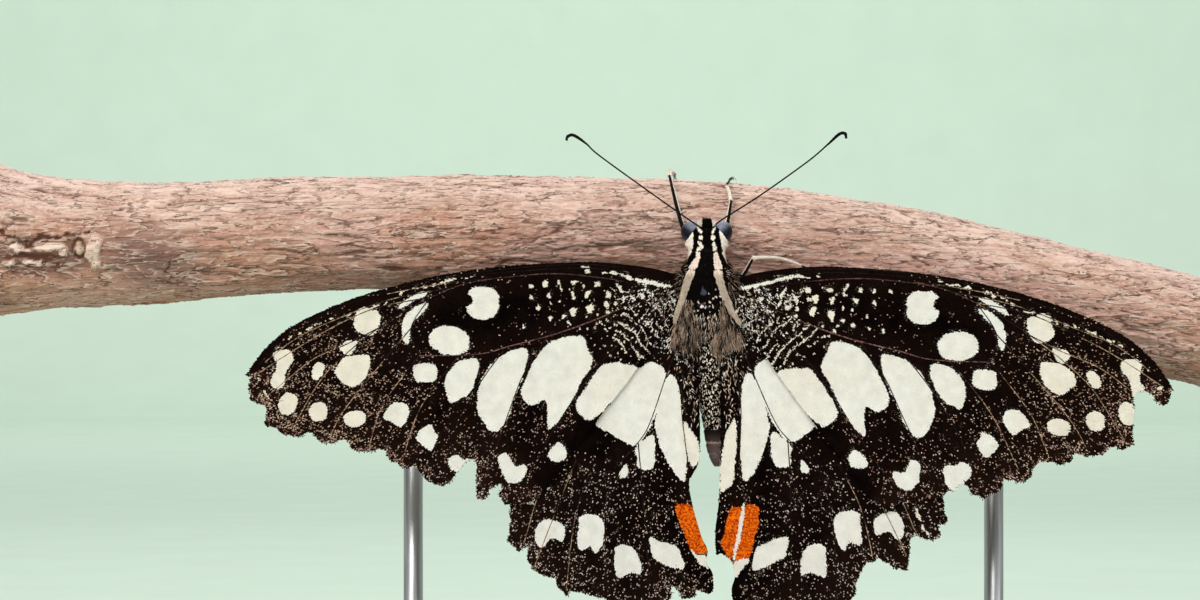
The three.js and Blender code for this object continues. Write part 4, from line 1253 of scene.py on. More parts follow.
# ---- Body: coat ---------------------------------------------------------------------------------------
# A hair's two rings: share of its length, width, how far they stand off the skin, and share of the bend.
# Then the three corners of a ring, a hair's faces, and its patch of the bake map; point 6 is its tip.
LOCK_RINGS = [(0.0, 1.0, -0.25, 0.0), (0.45, 0.85, 0.8, 1.0)]
LOCK_CORNERS = [(-0.5, 0.0), (0.5, 0.0), (0.0, 0.45)]
LOCK_QUADS = [(0, 3, 4, 1), (1, 4, 5, 2), (2, 5, 3, 0)]
LOCK_TRIANGLES = [(3, 6, 4), (4, 6, 5), (5, 6, 3), (0, 1, 2)]
LOCK_PATCH = [(-0.5, -0.5), (0.5, -0.5), (0, -0.3), (-0.4, 0), (0.4, 0), (0, 0.1), (0, 0.5)]


def locks(shape, roots, ways, normals, lengths, widths, rise, marks, maps, bend=0.0):
    """Hairs and their locks: thin three-sided spikes that leave the skin and bend over along way, and
    sideways by bend."""
    across = unit(np.cross(ways, normals))
    rings = []
    for share, wide, high, aside in LOCK_RINGS:
        middle = roots + ways * (share * lengths)[:, None] + normals * (high * rise)[:, None]
        middle = middle + across * (aside * np.broadcast_to(bend, len(roots)))[:, None]
        for beside, off in LOCK_CORNERS:
            spread = across * (beside * wide * widths)[:, None] + normals * (off * wide * widths)[:, None]
            rings.append(middle + spread)
    tips = roots + ways * lengths[:, None] + normals * rise[:, None]
    points = np.stack(rings + [tips], axis=1)
    base = np.arange(len(roots))[:, None] * len(LOCK_PATCH)
    faces = [np.concatenate([base + corners for corners in kind]) for kind in (LOCK_QUADS, LOCK_TRIANGLES)]
    patch = (maps[:, None] + np.array(LOCK_PATCH) * BAKE_PATCH).reshape(-1, 2)
    shape.add(points.reshape(-1, 3), faces, np.repeat(marks, len(LOCK_PATCH), axis=0), patch)


def body_frame(z, angle):
    """Places of the bare body, and the ways out of it, down it and round it."""
    step = 0.02
    roots = body_surface(z, angle)
    down = body_surface(z - step, angle) - roots
    beside = body_surface(z, angle + step) - roots
    return roots, unit(np.cross(down, beside)), unit(down), unit(beside)


def body_roots(count, low, high, rng):
    """Random places of the body between two heights."""
    tries = np.linspace(low, high, 200)
    _, _, wide, deep = body_axis(tries)
    weight = np.cumsum(wide + deep)
    z = np.interp(rng.random(count) * weight[-1], weight, tries)
    return body_frame(z, rng.uniform(-np.pi, np.pi, count))


def clear_of_eyes(places):
    """Which places lie outside the eyes."""
    gaps = [np.linalg.norm((places - ball_middle(EYE, side)) / EYE["radii"], axis=1) for side in (-1, 1)]
    return np.minimum(*gaps) > 1.02


def coat_material():
    nodes = Nodes("body_coat", 0.8, 0.03)
    pale, bare, tone, blue = nodes.marks()
    colour = nodes.mix(tone, srgb(2, 1, 1), srgb(16, 10, 9))
    brown = nodes.mix(tone, srgb(30, 17, 13), srgb(216, 180, 158))
    colour = nodes.mix(bare, colour, brown)
    cream = nodes.mix(tone, srgb(255, 246, 238), srgb(230, 192, 164))
    colour = nodes.mix(pale, colour, cream)
    return nodes.colour(nodes.mix(blue, colour, srgb(112, 92, 92)))


# For each stretch of the body: how many scales, from and to which height, and their length, width and rise.
BODY_SCALES = {
    "head_scales": (4600, 51.1, 54.1, 0.24, 0.1, 0.04),
    "thorax_scales": (17000, 41.4, 51.2, 0.28, 0.11, 0.05),
    "abdomen_scales": (12500, 29.5, 41.6, 0.28, 0.11, 0.045),
}


def body_scales(name, material):
    """Flat scales that lie towards the tail; each has the colour of the place it covers."""
    count, low, high, length, width, rise = BODY_SCALES[name]
    rng = np.random.default_rng(sum(map(ord, name)))
    roots, normals, down, beside = body_roots(count, low, high, rng)
    lengths = length * rng.uniform(0.75, 1.25, count)
    ways = unit(down + beside * rng.normal(0, 0.22, count)[:, None])
    marks = body_marks(roots + ways * (0.6 * lengths)[:, None], rng.random(count))
    keep = np.flatnonzero((marks[:, 1] < 0.5) & clear_of_eyes(roots))
    shape = Shape()
    paddles(shape, *(values[keep] for values in (
        roots, ways, normals, lengths, width * rng.uniform(0.8, 1.25, count),
        rise * rng.uniform(0.5, 1.5, count), marks, body_map(roots))))
    shape.piece(name, material, "body", mapped=True, flat=True)


# Locks of hair on both sides: how many, between which x and z they grow, the way (out, down) they lie,
# their length, and the share of them that are brown and pale; the rest are black.
TRESSES = [
    (900, (2.2, 2.85), (45.6, 49.0), (0.75, 0.9), 1.0, 0.25, 0.03),
    (500, (1.9, 2.6), (48.4, 50.2), (0.7, 0.8), 0.8, 0.2, 0.04),
    (500, (0.1, 1.5), (42.0, 44.8), (-0.05, 1.0), 0.6, 0.25, 0.25),
    (300, (0.0, 0.46), (53.2, 53.95), (0.0, -0.9), 0.32, 0.0, 0.0),
    (90, (0.46, 0.86), (53.2, 53.75), (0.1, -0.9), 0.42, 0.0, 1.0),
    (160, (1.0, 1.5), (39.4, 41.2), (0.05, 1.0), 1.2, 0.7, 0.1),
]


def thorax_hair(material):
    """The tresses, left out where the long stripes are."""
    shape = Shape()
    rng = np.random.default_rng(77)
    for count, x_range, z_range, (out, fall), length, brown, pale in TRESSES:
        for side in (-1, 1):
            z = z_range[0] + (z_range[1] - z_range[0]) * rng.beta(1.2, 1.6, count)
            x, _, wide, _ = body_axis(z)
            off = side * rng.uniform(*x_range, count) - x
            angle = np.arcsin(np.clip(off / wide, -0.98, 0.98))
            roots, normals, down, beside = body_frame(z, angle)
            spread = (side * out + rng.normal(0, 0.16, count))[:, None]
            ways = unit(down * fall + beside * spread)
            pick = rng.random(count)
            marks = mark_rows(pick > 1 - pale, pick < brown, rng.random(count), 0)
            lengths = length * rng.uniform(0.55, 1.35, count)
            keep = clear_of_stripes(roots) & clear_of_stripes(roots + ways * lengths[:, None])
            locks(shape, *(values[keep] for values in (
                roots, ways, normals, lengths, rng.uniform(0.06, 0.1, count),
                rng.uniform(0.08, 0.3, count), marks, body_map(roots))))
    shape.piece("thorax_hair", material, "body", mapped=True)


def clear_of_stripes(places):
    """Which places lie outside the thorax's long stripes, seen from straight ahead."""
    clear = np.ones(len(places), dtype=bool)
    for side in (-1, 1):
        outer, inner = stripe_edges(side, places[:, 2])
        within = (side * places[:, 0] < side * outer + 0.04) & (side * places[:, 0] > side * inner - 0.04)
        clear &= ~(within & (places[:, 2] > STRIPES[side][0][0]) & (places[:, 2] < STRIPES[side][-1][0]))
    return clear


def stripe_edges(side, z):
    """The outer and inner edge of one side's long stripe at heights z."""
    rows = np.array(STRIPES[side])
    return np.interp(z, rows[:, 0], rows[:, 1]), np.interp(z, rows[:, 0], rows[:, 2])


def front(x, z):
    """How far back the nearest surface lies, seen from straight ahead: the body's or the wings'."""
    middle, y, wide, deep = body_axis(z)
    off = np.clip((x - middle) / wide, -1, 1)
    body = BUTTERFLY_Y + y - deep * np.sqrt(1 - off**2)
    return np.minimum(body, BUTTERFLY_Y + wing_depth(x) - 0.15)


def draped(shape, x, z, tip_x, tip_z, proud, widths, marks, bend=0.0):
    """Hair that lies from (x, z) to its tip over body and wings, its tip proud of them."""
    roots = np.stack([x, front(x, z) + 0.06, z], 1)
    tips = np.stack([tip_x, front(tip_x, tip_z) - proud, tip_z], 1)
    ways = unit(tips - roots)
    normals = unit(np.array([0.0, -1.0, 0.0]) + ways * ways[:, 1:2])
    lengths = np.linalg.norm(tips - roots, axis=1)
    locks(shape, roots, ways, normals, lengths, widths, 0.4 * proud, marks, body_map(roots), bend * lengths)


STRIPE_HAIR = 1100


def stripe_hair(material):
    """The long pale stripes: short flat hair, combed along them."""
    shape = Shape()
    rng = np.random.default_rng(82)
    count = STRIPE_HAIR
    for side, rows in STRIPES.items():
        length = rng.uniform(0.35, 0.6, count)
        z = rng.uniform(rows[0][0] + 0.2, rows[-1][0], count)
        share = rng.random(count)
        x, tip_x = (inner + (outer - inner) * share
                    for outer, inner in (stripe_edges(side, height) for height in (z, z - length)))
        tip_x = tip_x + rng.normal(0, 0.06, count)
        brown = rng.random(count) < 0.04 + 0.2 * smooth(45.5, 44, z)
        marks = mark_rows(~brown, brown, rng.uniform(0.25, 0.9, count), 0)
        draped(shape, x, z, tip_x, z - length, rng.uniform(0.1, 0.2, count),
               rng.uniform(0.07, 0.12, count), marks)
    shape.piece("stripe_hair", material, "body", mapped=True)


TUFTS = {"count": 1200, "heights": (41.4, 46.2), "inner": (0.5, 1.75), "outer": (3.6, 2.6), "locks": 11}


def tufts(material):
    """Long brown hair in wavy locks, between the long stripes and the middle of the thorax."""
    shape = Shape()
    rng = np.random.default_rng(79)
    count = TUFTS["count"]
    for side in (-1, 1):
        z = TUFTS["heights"][0] + np.ptp(TUFTS["heights"]) * rng.beta(1.2, 1.3, count)
        share = rng.beta(1.0, 1.3, count)
        inner = np.interp(z, TUFTS["heights"], TUFTS["inner"])
        outer = np.interp(z, TUFTS["heights"], TUFTS["outer"])
        stripe = np.where(z > STRIPES[side][0][0], np.abs(stripe_edges(side, z)[1]) - 0.1, outer)
        outer = np.minimum(outer, stripe)
        x = side * (inner + (outer - inner) * share + rng.normal(0, 0.1, count))
        lock = np.floor(np.stack([share * TUFTS["locks"], 0.8 * z + 3 * share], 1)
                        + rng.normal(0, 0.2, (count, 2)))
        fan = side * 0.5 * (share - 0.45)
        lean = fan + 0.45 * (lattice(lock, 80 + side) - 0.5) + rng.normal(0, 0.09, count)
        length = rng.uniform(0.5, 1.9, count) * (1 - 0.3 * share)
        bend = 0.3 * (lattice(lock, 84 + side) - 0.5)
        tone = np.clip(1.5 * lattice(lock, 90 + side) - 0.4 + rng.normal(0, 0.2, count), 0, 1)
        pale = rng.random(count) < 0.08
        marks = mark_rows(pale, ~pale, tone, 0)
        draped(shape, x, z, x + lean * length, z - length, rng.uniform(0.08, 0.35, count),
               rng.uniform(0.045, 0.08, count), marks, bend)
    shape.piece("tuft_hair", material, "body", mapped=True)


def ball_roots(ball, side, proud, way, spread, count, rng):
    """Random places on the front of a ball on one side of the body, the ways along it and out of it."""
    out = unit(rng.normal(0, 1, (count, 3)))
    out[:, 1] = -np.abs(out[:, 1])
    normals = unit(out / ball["radii"])
    roots = ball_middle(ball, side) + out * ball["radii"] * proud
    ways = np.tile((side * way[0], 0.0, way[1]), (count, 1)) + rng.normal(0, spread, (count, 3))
    return roots, square_to(ways, normals), normals


def shoulder_coat(material):
    """Hair over the shoulders, combed out onto the wings."""
    shape = Shape()
    rng = np.random.default_rng(78)
    count = SHOULDER["hairs"]
    for side in (-1, 1):
        roots, ways, normals = ball_roots(SHOULDER, side, 1.0, (0.7, -0.8), 0.25, count, rng)
        pick = rng.random(count)
        marks = mark_rows(pick > 0.97, pick < 0.3, 0.8 * rng.random(count), 0)
        keep = clear_of_stripes(roots) & clear_of_stripes(roots + ways * 0.4)
        locks(shape, *(values[keep] for values in (
            roots, ways, normals, rng.uniform(0.4, 1.1, count), rng.uniform(0.05, 0.08, count),
            rng.uniform(0.04, 0.16, count), marks, body_map(roots))))
    shape.piece("shoulder_hair", material, "body", mapped=True)


ROOT_HAIR = {
    "forewing": {"count": 620, "middle": (0.2, -3.2), "spread": (1.3, 2.2), "heights": (-8.0, -1.0)},
    "hindwing": {"count": 700, "middle": (-0.2, -4.5), "spread": (0.9, 4.0), "heights": (-11.0, 1.0)},
}


def wing_root_hair(wing, material):
    """Hair and long scales that cross from the body onto a wing's root."""
    patch = ROOT_HAIR["forewing" if wing.fore else "hindwing"]
    rng = np.random.default_rng(wing.seed + 7)
    places = np.array(patch["middle"]) + rng.normal(0, 1, (patch["count"], 2)) * patch["spread"]
    lowest, highest = patch["heights"]
    places = places[(wing.margin(places)[0] > 0.05) & (places[:, 1] > lowest) & (places[:, 1] < highest)]
    places = places[wing.patches(places)[0] > 0.25]
    count = len(places)
    way = turned_by(unit(places - wing.root), rng.normal(0, 0.55, count))
    starts, ways, normals = wing.directions(places, way, MEMBRANE["half"])
    pick = rng.random(count)
    marks = mark_rows(pick > 0.8, (pick < 0.16) * 0.9, rng.random(count), 0)
    shape = Shape()
    locks(shape, starts, ways, normals, rng.uniform(0.2, 0.7, count), rng.uniform(0.08, 0.13, count),
          rng.uniform(0.03, 0.12, count), marks, wing.map(places))
    shape.piece(wing.name + "_root_hair", material, "body", mapped=True)


def make_body(wings):
    """Skin and coat of the body, and what stands on it."""
    make_skin()
    material = coat_material()
    for name in BODY_SCALES:
        body_scales(name, material)
    thorax_hair(material)
    stripe_hair(material)
    tufts(material)
    shoulder_coat(material)
    for wing in wings:
        wing_root_hair(wing, material)
    eye_rims(material)
    make_eyes()
    make_proboscis()
    make_antennae()
    make_legs()


# ---- Head: eyes, feelers and proboscis ----------------------------------------------------------------
EYE_RIM = {"count": 2600, "top": (0.98, 53.4), "foot": (2.22, 51.7), "proud": 1.03, "length": 0.24,
           "width": 0.12}


def eye_rims(material):
    """Scales of the head that lie over the inner, lower half of each eye, below a slanting line."""
    shape = Shape()
    rng = np.random.default_rng(81)
    count = EYE_RIM["count"]
    (top_x, top_z), (foot_x, foot_z) = EYE_RIM["top"], EYE_RIM["foot"]
    for side in (-1, 1):
        roots, ways, normals = ball_roots(EYE, side, EYE_RIM["proud"], (0.45, -0.9), 0.12, count, rng)
        marks = body_marks(roots + ways * 0.15, rng.random(count))
        over = (foot_x - top_x) * (roots[:, 2] - top_z) - (foot_z - top_z) * (side * roots[:, 0] - top_x)
        keep = over < 0
        paddles(shape, *(values[keep] for values in (
            roots, ways, normals, EYE_RIM["length"] * rng.uniform(0.8, 1.2, count),
            EYE_RIM["width"] * rng.uniform(0.8, 1.2, count), rng.uniform(0.02, 0.05, count), marks,
            body_map(roots))))
    shape.piece("eye_rim_scales", material, "body", mapped=True, flat=True)


def eye_material():
    """A painted reflection of the sky: pale blue-grey at the top near the crown, fading to dark purple at the
    lower outer edge.
    """
    nodes = Nodes("eye_facets", 0.4, 0.1)
    place = nodes.node("TexCoord").outputs["Object"]
    parts = nodes.node("SeparateXYZ", {"Vector": place})
    out = nodes.math("ABSOLUTE", parts.outputs["X"])
    fall = nodes.math("MULTIPLY_ADD", out, -0.75, parts.outputs["Z"])
    height = nodes.node("MapRange", {"Value": fall, "From Min": 0.05035, "From Max": 0.0529})
    # The pale end of this ramp is a painted reflection of the sky on the glossy eye.
    band = nodes.ramp(height.outputs["Result"], (0.05, srgb(58, 44, 66)), (0.26, srgb(14, 10, 20)),
                      (0.46, srgb(34, 32, 46)), (0.82, srgb(150, 154, 168)))
    cells = nodes.node("TexVoronoi", {"Vector": place, "Scale": 32000.0})
    nodes.bump(cells.outputs["Distance"], 0.25, 0.00001)
    return nodes.grained(band, 2600, 3, (0.72, 0.72, 0.76), 0.35, 0.65)


def make_eyes():
    """Two domes, one for each eye of the CAD model."""
    material = eye_material()
    for name, side in (("eye_left", -1), ("eye_right", 1)):
        shape = Shape()
        ellipsoid(shape, ball_middle(EYE, side), EYE["radii"], side * EYE["lean"], 64, 48)
        shape.piece(name + "_dome", material, "eye", [name])


def horn_material(name, dark, light, roughness=0.45):
    nodes = Nodes(name, roughness, 0.08)
    pale, _, tone, _ = nodes.marks()
    colour = nodes.mix(tone, dark, light)
    colour = nodes.mix(pale, colour, srgb(226, 208, 180))
    nodes.bump(nodes.noise(9000, 3), 0.4, 0.00003)
    return nodes.grained(colour, 6000, 3, (0.7, 0.7, 0.7))


TONGUE = {"foot": [(0, 1.9, 52.55), (0, 2.3, 52.3)], "middle": (3.3, 52.3), "turns": 2.3, "start": 1.9,
          "reach": (0.62, 0.14), "radius": (0.104, 0.04), "apart": 0.07, "steps": 120}


def make_proboscis():
    """A tongue of two joined tubes, coiled like a watch spring under the face."""
    steps = TONGUE["steps"]
    turns = np.linspace(0.0, TONGUE["turns"] * 2 * np.pi, steps) - TONGUE["start"]
    reach = np.linspace(*TONGUE["reach"], steps)
    y, z = TONGUE["middle"]
    coil = np.stack([np.zeros(steps), y + reach * np.sin(turns), z + reach * np.cos(turns)], 1)
    path = own(np.concatenate([TONGUE["foot"], coil]))
    radii = np.r_[0.128, 0.12, np.linspace(*TONGUE["radius"], steps)]
    shape = Shape()
    for side in (-1, 1):
        tube(shape, path + (side * TONGUE["apart"], 0, 0), radii, 10, (0, 0, 0.6, 0))
    shape.piece("proboscis_coil", horn_material("tongue_horn", srgb(40, 24, 16), srgb(96, 62, 36)),
                "feeler", ["proboscis"])


# Each antenna's line from its foot to the hook of its club, in the body's frame; a ring every 0.36 mm.
ANTENNA = {
    "left": [(-0.45, 0.15, 53.15), (-0.62, 0.05, 53.3), (-1.7, -0.1, 53.95), (-5.7, -0.6, 56.75),
             (-10.7, -1.0, 60.35), (-12.1, -1.1, 61.6), (-13.3, -1.15, 62.4), (-13.9, -1.1, 62.3),
             (-14.05, -1.0, 61.9)],
    "right": [(0.45, 0.15, 53.15), (0.6, 0.05, 53.3), (1.6, -0.1, 54.1), (5.3, -0.6, 56.45),
              (10.0, -1.0, 59.8), (12.0, -1.1, 61.5), (13.1, -1.15, 62.5), (13.7, -1.1, 62.6),
              (13.85, -1.0, 62.1)],
}
ANTENNA_RINGS = 0.36
ANTENNA_STEP = 0.045


def make_antennae():
    """Thin ringed shafts on a thicker foot joint, each with a hooked club."""
    material = horn_material("antenna_horn", srgb(4, 2, 2), srgb(24, 13, 10), 0.6)
    for side, points in ANTENNA.items():
        path = even(spline(own(points), 12), ANTENNA_STEP)
        length = np.linspace(0, ANTENNA_STEP * (len(path) - 1), len(path))
        total = length[-1]
        club = smooth(total - 3.4, total - 1.1, length) * (1 - 0.55 * smooth(total - 0.5, total, length))
        radii = 0.082 + 0.085 * club
        radii += 0.1 * smooth(0.34, 0.26, length) + 0.05 * smooth(0.62, 0.5, length)
        phase = (length / ANTENNA_RINGS) % 1
        radii *= 1 - 0.14 * np.exp(-(((phase - 0.5) / 0.12) ** 2))
        tone = np.where(np.abs(phase - 0.5) < 0.15, 0.9, 0.2)
        shape = Shape()
        tube(shape, path, radii, 12, mark_rows(0, 0, tone, 0))
        name = "antenna_" + side
        shape.piece(name + "_shaft", material, "feeler", [name])


# ---- Legs ---------------------------------------------------------------------------------------------
LEG = {"femur": 0.24, "tibia": 0.19, "foot": 0.1, "clearance": 0.1, "sag": 0.9, "arch": 0.4}
CLAW = {"length": 0.42, "spread": 0.22, "hook": 0.28, "radius": (0.05, 0.012)}


def leg_material():
    nodes = Nodes("leg_horn", 0.6, 0.08)
    pale, _, tone, _ = nodes.marks()
    colour = nodes.mix(tone, srgb(5, 3, 3), srgb(110, 82, 58))
    colour = nodes.mix(pale, colour, srgb(250, 234, 218))
    nodes.bump(nodes.noise(8000, 3), 0.4, 0.00004)
    return nodes.grained(colour, 5000, 3, (0.8, 0.78, 0.76))


def on_bark(points):
    """Points of a foot, lifted out of the bark where they would lie in it."""
    z, radius = perch_axis(points[:, 0])
    off = np.stack([points[:, 1] - PERCH_Y, points[:, 2] - z], 1)
    apart = np.linalg.norm(off, axis=1)
    angle = np.arctan2(off[:, 1], off[:, 0])
    surface = radius + bark(points[:, 0], angle)[0]
    lifted = np.maximum(apart, surface + LEG["clearance"])
    moved = points.copy()
    moved[:, 1] = PERCH_Y + off[:, 0] / apart * lifted
    moved[:, 2] = z + off[:, 1] / apart * lifted
    return moved


def make_legs():
    """Each leg's femur, shin and foot, and its claws."""
    material = leg_material()
    claws_material = horn_material("claw_horn", srgb(24, 12, 8), srgb(70, 40, 24), 0.3)
    for name, joints in LEGS.items():
        hip, knee, ankle, bend, tip = own(joints)
        rng = np.random.default_rng(sum(map(ord, name)))
        shape = Shape()
        share = np.linspace(0, 1, 40)
        bow = np.sin(np.pi * share)[:, None] * (0, 0, 1)
        femur = hip + (knee - hip) * share[:, None] - LEG["sag"] * bow
        thick = LEG["femur"] * (0.8 + 0.3 * np.sin(np.pi * share) - 0.15 * share)
        limb(shape, femur, thick, 0.02, 0.35, rng)
        shin = knee + (ankle - knee) * share[:, None] + LEG["arch"] * bow
        thick = LEG["tibia"] * (1.0 - 0.25 * share + 0.5 * np.exp(-((share / 0.05) ** 2)))
        limb(shape, shin, thick, 0.9, 0.6, rng)
        foot = on_bark(even(np.array([ankle, bend, tip]), 0.06))
        share = np.linspace(0, 1, len(foot))
        joint = (share * 5) % 1
        thick = LEG["foot"] * (0.8 + 0.45 * joint**2 - 0.2 * share)
        limb(shape, foot, thick, 0.15, 0.5, rng)
        shape.piece(name + "_limb", material, "leg", [name])
        claws = Shape()
        for side in (-1, 1):
            claw(claws, foot, side)
        claws.piece(name + "_claws", claws_material, "leg")


def claw(shape, foot, side):
    """One of the two claws that spread from a foot's tip and hook into the bark."""
    toe = foot[-1]
    out = toe - (toe[0], PERCH_Y, perch_axis(toe[0])[0])
    ahead = unit(toe - foot[-6])
    beside = unit(np.cross(ahead, out))
    inwards = np.cross(ahead, beside)
    inwards *= -np.sign(inwards @ out)
    arc = np.linspace(0, 1.0, 12)[:, None]
    path = (toe + ahead * CLAW["length"] * arc + beside * side * (0.05 + CLAW["spread"] * arc)
            + inwards * (CLAW["hook"] * arc**2 - 0.02))
    tube(shape, path, np.linspace(*CLAW["radius"], 12), 8, (0, 0, 0.3, 0))


def limb(shape, path, radii, cream, bristles, rng):
    """One stretch of a leg with a pale line on it, and short bristles."""
    tube(shape, path, radii, 12, (float(cream > 0.5), 0, cream, 0))
    inward = np.array([-0.8 * np.sign(path[0, 0]), -0.6, 0.0])
    tube(shape, path + inward * radii[:, None] * 0.75, radii * 0.42, 8, (1, 0, 0.2, 0))
    length = np.linalg.norm(np.diff(path, axis=0), axis=1).sum()
    count = int(length * 34 * bristles)
    at = rng.integers(1, len(path) - 1, count)
    ahead = unit(path[at + 1] - path[at - 1])
    out = unit(np.cross(ahead, rng.normal(0, 1, (count, 3))))
    roots = path[at] + out * radii[at][:, None] * 0.9
    ways = unit(ahead + 0.55 * out)
    light = rng.random(count) < (0.25 + 0.5 * (cream > 0.5))
    marks = mark_rows(light, 0, rng.random(count) * 0.5, 0)
    locks(shape, roots, ways, square_to(out, ways), rng.uniform(0.15, 0.32, count), np.full(count, 0.035),
          np.full(count, 0.03), marks, np.zeros((count, 2)))


# ---- Perch --------------------------------------------------------------------------------------------
# The branch's axis and thickness, as in the CAD model: rows of x, height and radius. Its swellings are
# waves round it: how high as a share of the radius, how many, and how far they turn in a millimetre.
BRANCH = [(-74, 52.3, 8.2), (-70.6, 52.0, 7.4), (-66, 51.9, 6.75), (-57, 52.0, 6.35), (-49, 52.4, 6.1),
          (-38, 52.8, 5.9), (-21, 53.0, 5.85), (0, 52.5, 5.85), (20, 49.9, 5.8), (53, 42.4, 5.7)]
BRANCH_LINE = spline(np.array(BRANCH, dtype=float), 16)
SWELLINGS = [(0.016, 3, 0.11), (0.011, 5, -0.27)]
PERCH_MESH = {"steps": 600, "sides": 264, "cap_rings": 22}
# The knot on the branch's front: a lip along a line of (x, height), and ovals of x, height, half width
# and half height: a hollow with a slot in it, a boss with the stub of a twig, and crumbs of bark.
KNOT = {
    "lip": [(-72.0, 52.9), (-69.6, 52.2), (-68.5, 51.6), (-67.6, 52.5), (-65.0, 52.5), (-62.4, 53.0)],
    "hollow": (-67.4, 50.2, 5.6, 2.3), "slot": (-68.0, 50.25, 3.0, 0.34),
    "stub": (-63.6, 51.2, 0.56, 1.0), "boss": (-62.15, 51.0, 0.85, 2.0),
}
KNOT_CRUMBS = [(-69.5, 51.15, 1.3, 0.5), (-67.9, 51.5, 0.6, 0.4), (-66.3, 51.45, 1.2, 0.55),
               (-65.2, 50.8, 0.4, 0.32), (-70.6, 49.6, 0.5, 0.35), (-68.3, 49.6, 1.0, 0.3)]


def perch_axis(x):
    """The height of the branch's axis and its radius at x."""
    return [np.interp(x, BRANCH_LINE[:, 0], BRANCH_LINE[:, k]) for k in (1, 2)]


def bark(x, angle):
    """How far the bark stands above the branch's radius, and its marks: painted light, painted shade, tone
    and knot.
    """
    axis_z, radius = perch_axis(x)
    swell = sum(high * np.sin(lobes * angle + turns * x) for high, lobes, turns in SWELLINGS) * radius
    round_about = np.stack([np.cos(angle), np.sin(angle)], 1) * radius[:, None]
    wander = rough(np.column_stack([x / 2.2, round_about]), 4.0, 200)
    turned = angle + 0.12 * wander
    ring = np.stack([np.cos(turned), np.sin(turned)], 1) * 6.0

    def grain(stretch, size, seed, octaves=3):
        return rough(np.column_stack([x / stretch, ring]), size, seed, octaves)

    ridges = grain(4.5, 0.9, 210, 4)
    cracks = smooth(0.08, 0.015, np.abs(grain(7.0, 0.9, 220, 2))) * smooth(0.0, 0.3, grain(4.0, 1.8, 230))
    finer = smooth(0.1, 0.02, np.abs(grain(7.0, 0.5, 225, 2))) * smooth(-0.1, 0.3, grain(4.0, 1.2, 235))
    cracks = np.maximum(cracks, 0.6 * finer)
    plates = grain(4.0, 0.8, 240) * 3.2
    steps = plates - np.floor(plates)
    flakes = (np.floor(plates) + smooth(0.75, 0.95, steps)) / 3.2
    lifted = smooth(0.7, 0.8, steps) * smooth(1.0, 0.9, steps)
    fine = grain(5.0, 0.25, 250, 2)
    height = 0.1 * ridges + 0.14 * flakes - 0.2 * cracks + 0.05 * fine + 0.07 * lifted - 0.12
    z = axis_z + radius * np.sin(angle)
    ahead = np.cos(angle) < 0.2
    front = np.column_stack([x, z])
    warped = front + 0.3 * np.stack([rough(front, 0.9, 260), rough(front, 0.9, 261)], 1)

    def reach(place, bent=warped):
        """How far a place of the front lies from an oval's middle: 1 on its rim."""
        s, t, a, b = place
        return np.where(ahead, np.hypot((bent[:, 0] - s) / a, (bent[:, 1] - t) / b), 9.0)

    hollow = smooth(1.15, 0.75, reach(KNOT["hollow"]))
    crumbs = smooth(1.15, 0.8, np.minimum.reduce([reach(crumb) for crumb in KNOT_CRUMBS]))
    boss, stub, slot = reach(KNOT["boss"]), reach(KNOT["stub"], front), reach(KNOT["slot"])
    lip_apart, _ = line_distance(warped, spline(KNOT["lip"], 5))
    lip = np.where(ahead, smooth(0.2, 0.08, lip_apart), 0)
    height = height * (1 - 0.5 * hollow) - 0.5 * hollow + 0.5 * crumbs - 0.25 * lip
    height = height + 0.5 * smooth(1.1, 0.6, boss) - 0.35 * smooth(1.3, 1.0, stub) * smooth(0.6, 0.9, stub)
    # Painted shade: darker in the cracks, in low places between the ridges, in the knot's slot, in the groove
    # round the stub and along the lip.
    dark = np.clip(0.8 * cracks + 0.3 * smooth(0.1, -0.5, ridges) * smooth(0.4, 0.0, steps), 0, 1)
    dark = dark * smooth(0.9, 1.2, boss)
    dark = np.maximum.reduce([dark, smooth(0.3, 0.1, np.abs(stub - 1.05)), smooth(1.2, 0.8, slot), lip])
    # Painted light: the bark is paler towards the top of the branch, where the light falls, and on raised
    # ridges, lifted flake edges, crumbs, the boss and the stub, as painted highlights.
    light = np.clip(0.9 * np.sin(angle) - 0.12 + 0.3 * ridges + 0.25 * fine + 0.35 * lifted, 0, 1)
    light = np.maximum.reduce([light, crumbs, 0.8 * smooth(1.1, 0.7, boss), 0.6 * smooth(0.9, 0.5, stub)])
    tone = np.clip(0.5 + 0.8 * rough(np.column_stack([x / 1.8, ring]), 5.0, 280), 0, 1)
    stain = np.where(ahead, smooth(9, 2, np.hypot(x + 56.5, (z - 50.6) * 2) + 2 * wander), 0)
    stain = np.maximum(stain, 0.9 * hollow) * smooth(0.8, 1.1, boss) * smooth(0.7, 1.0, stub)
    return height + swell, mark_rows(light, dark, tone, np.clip(0.85 * stain - crumbs, 0, 1))


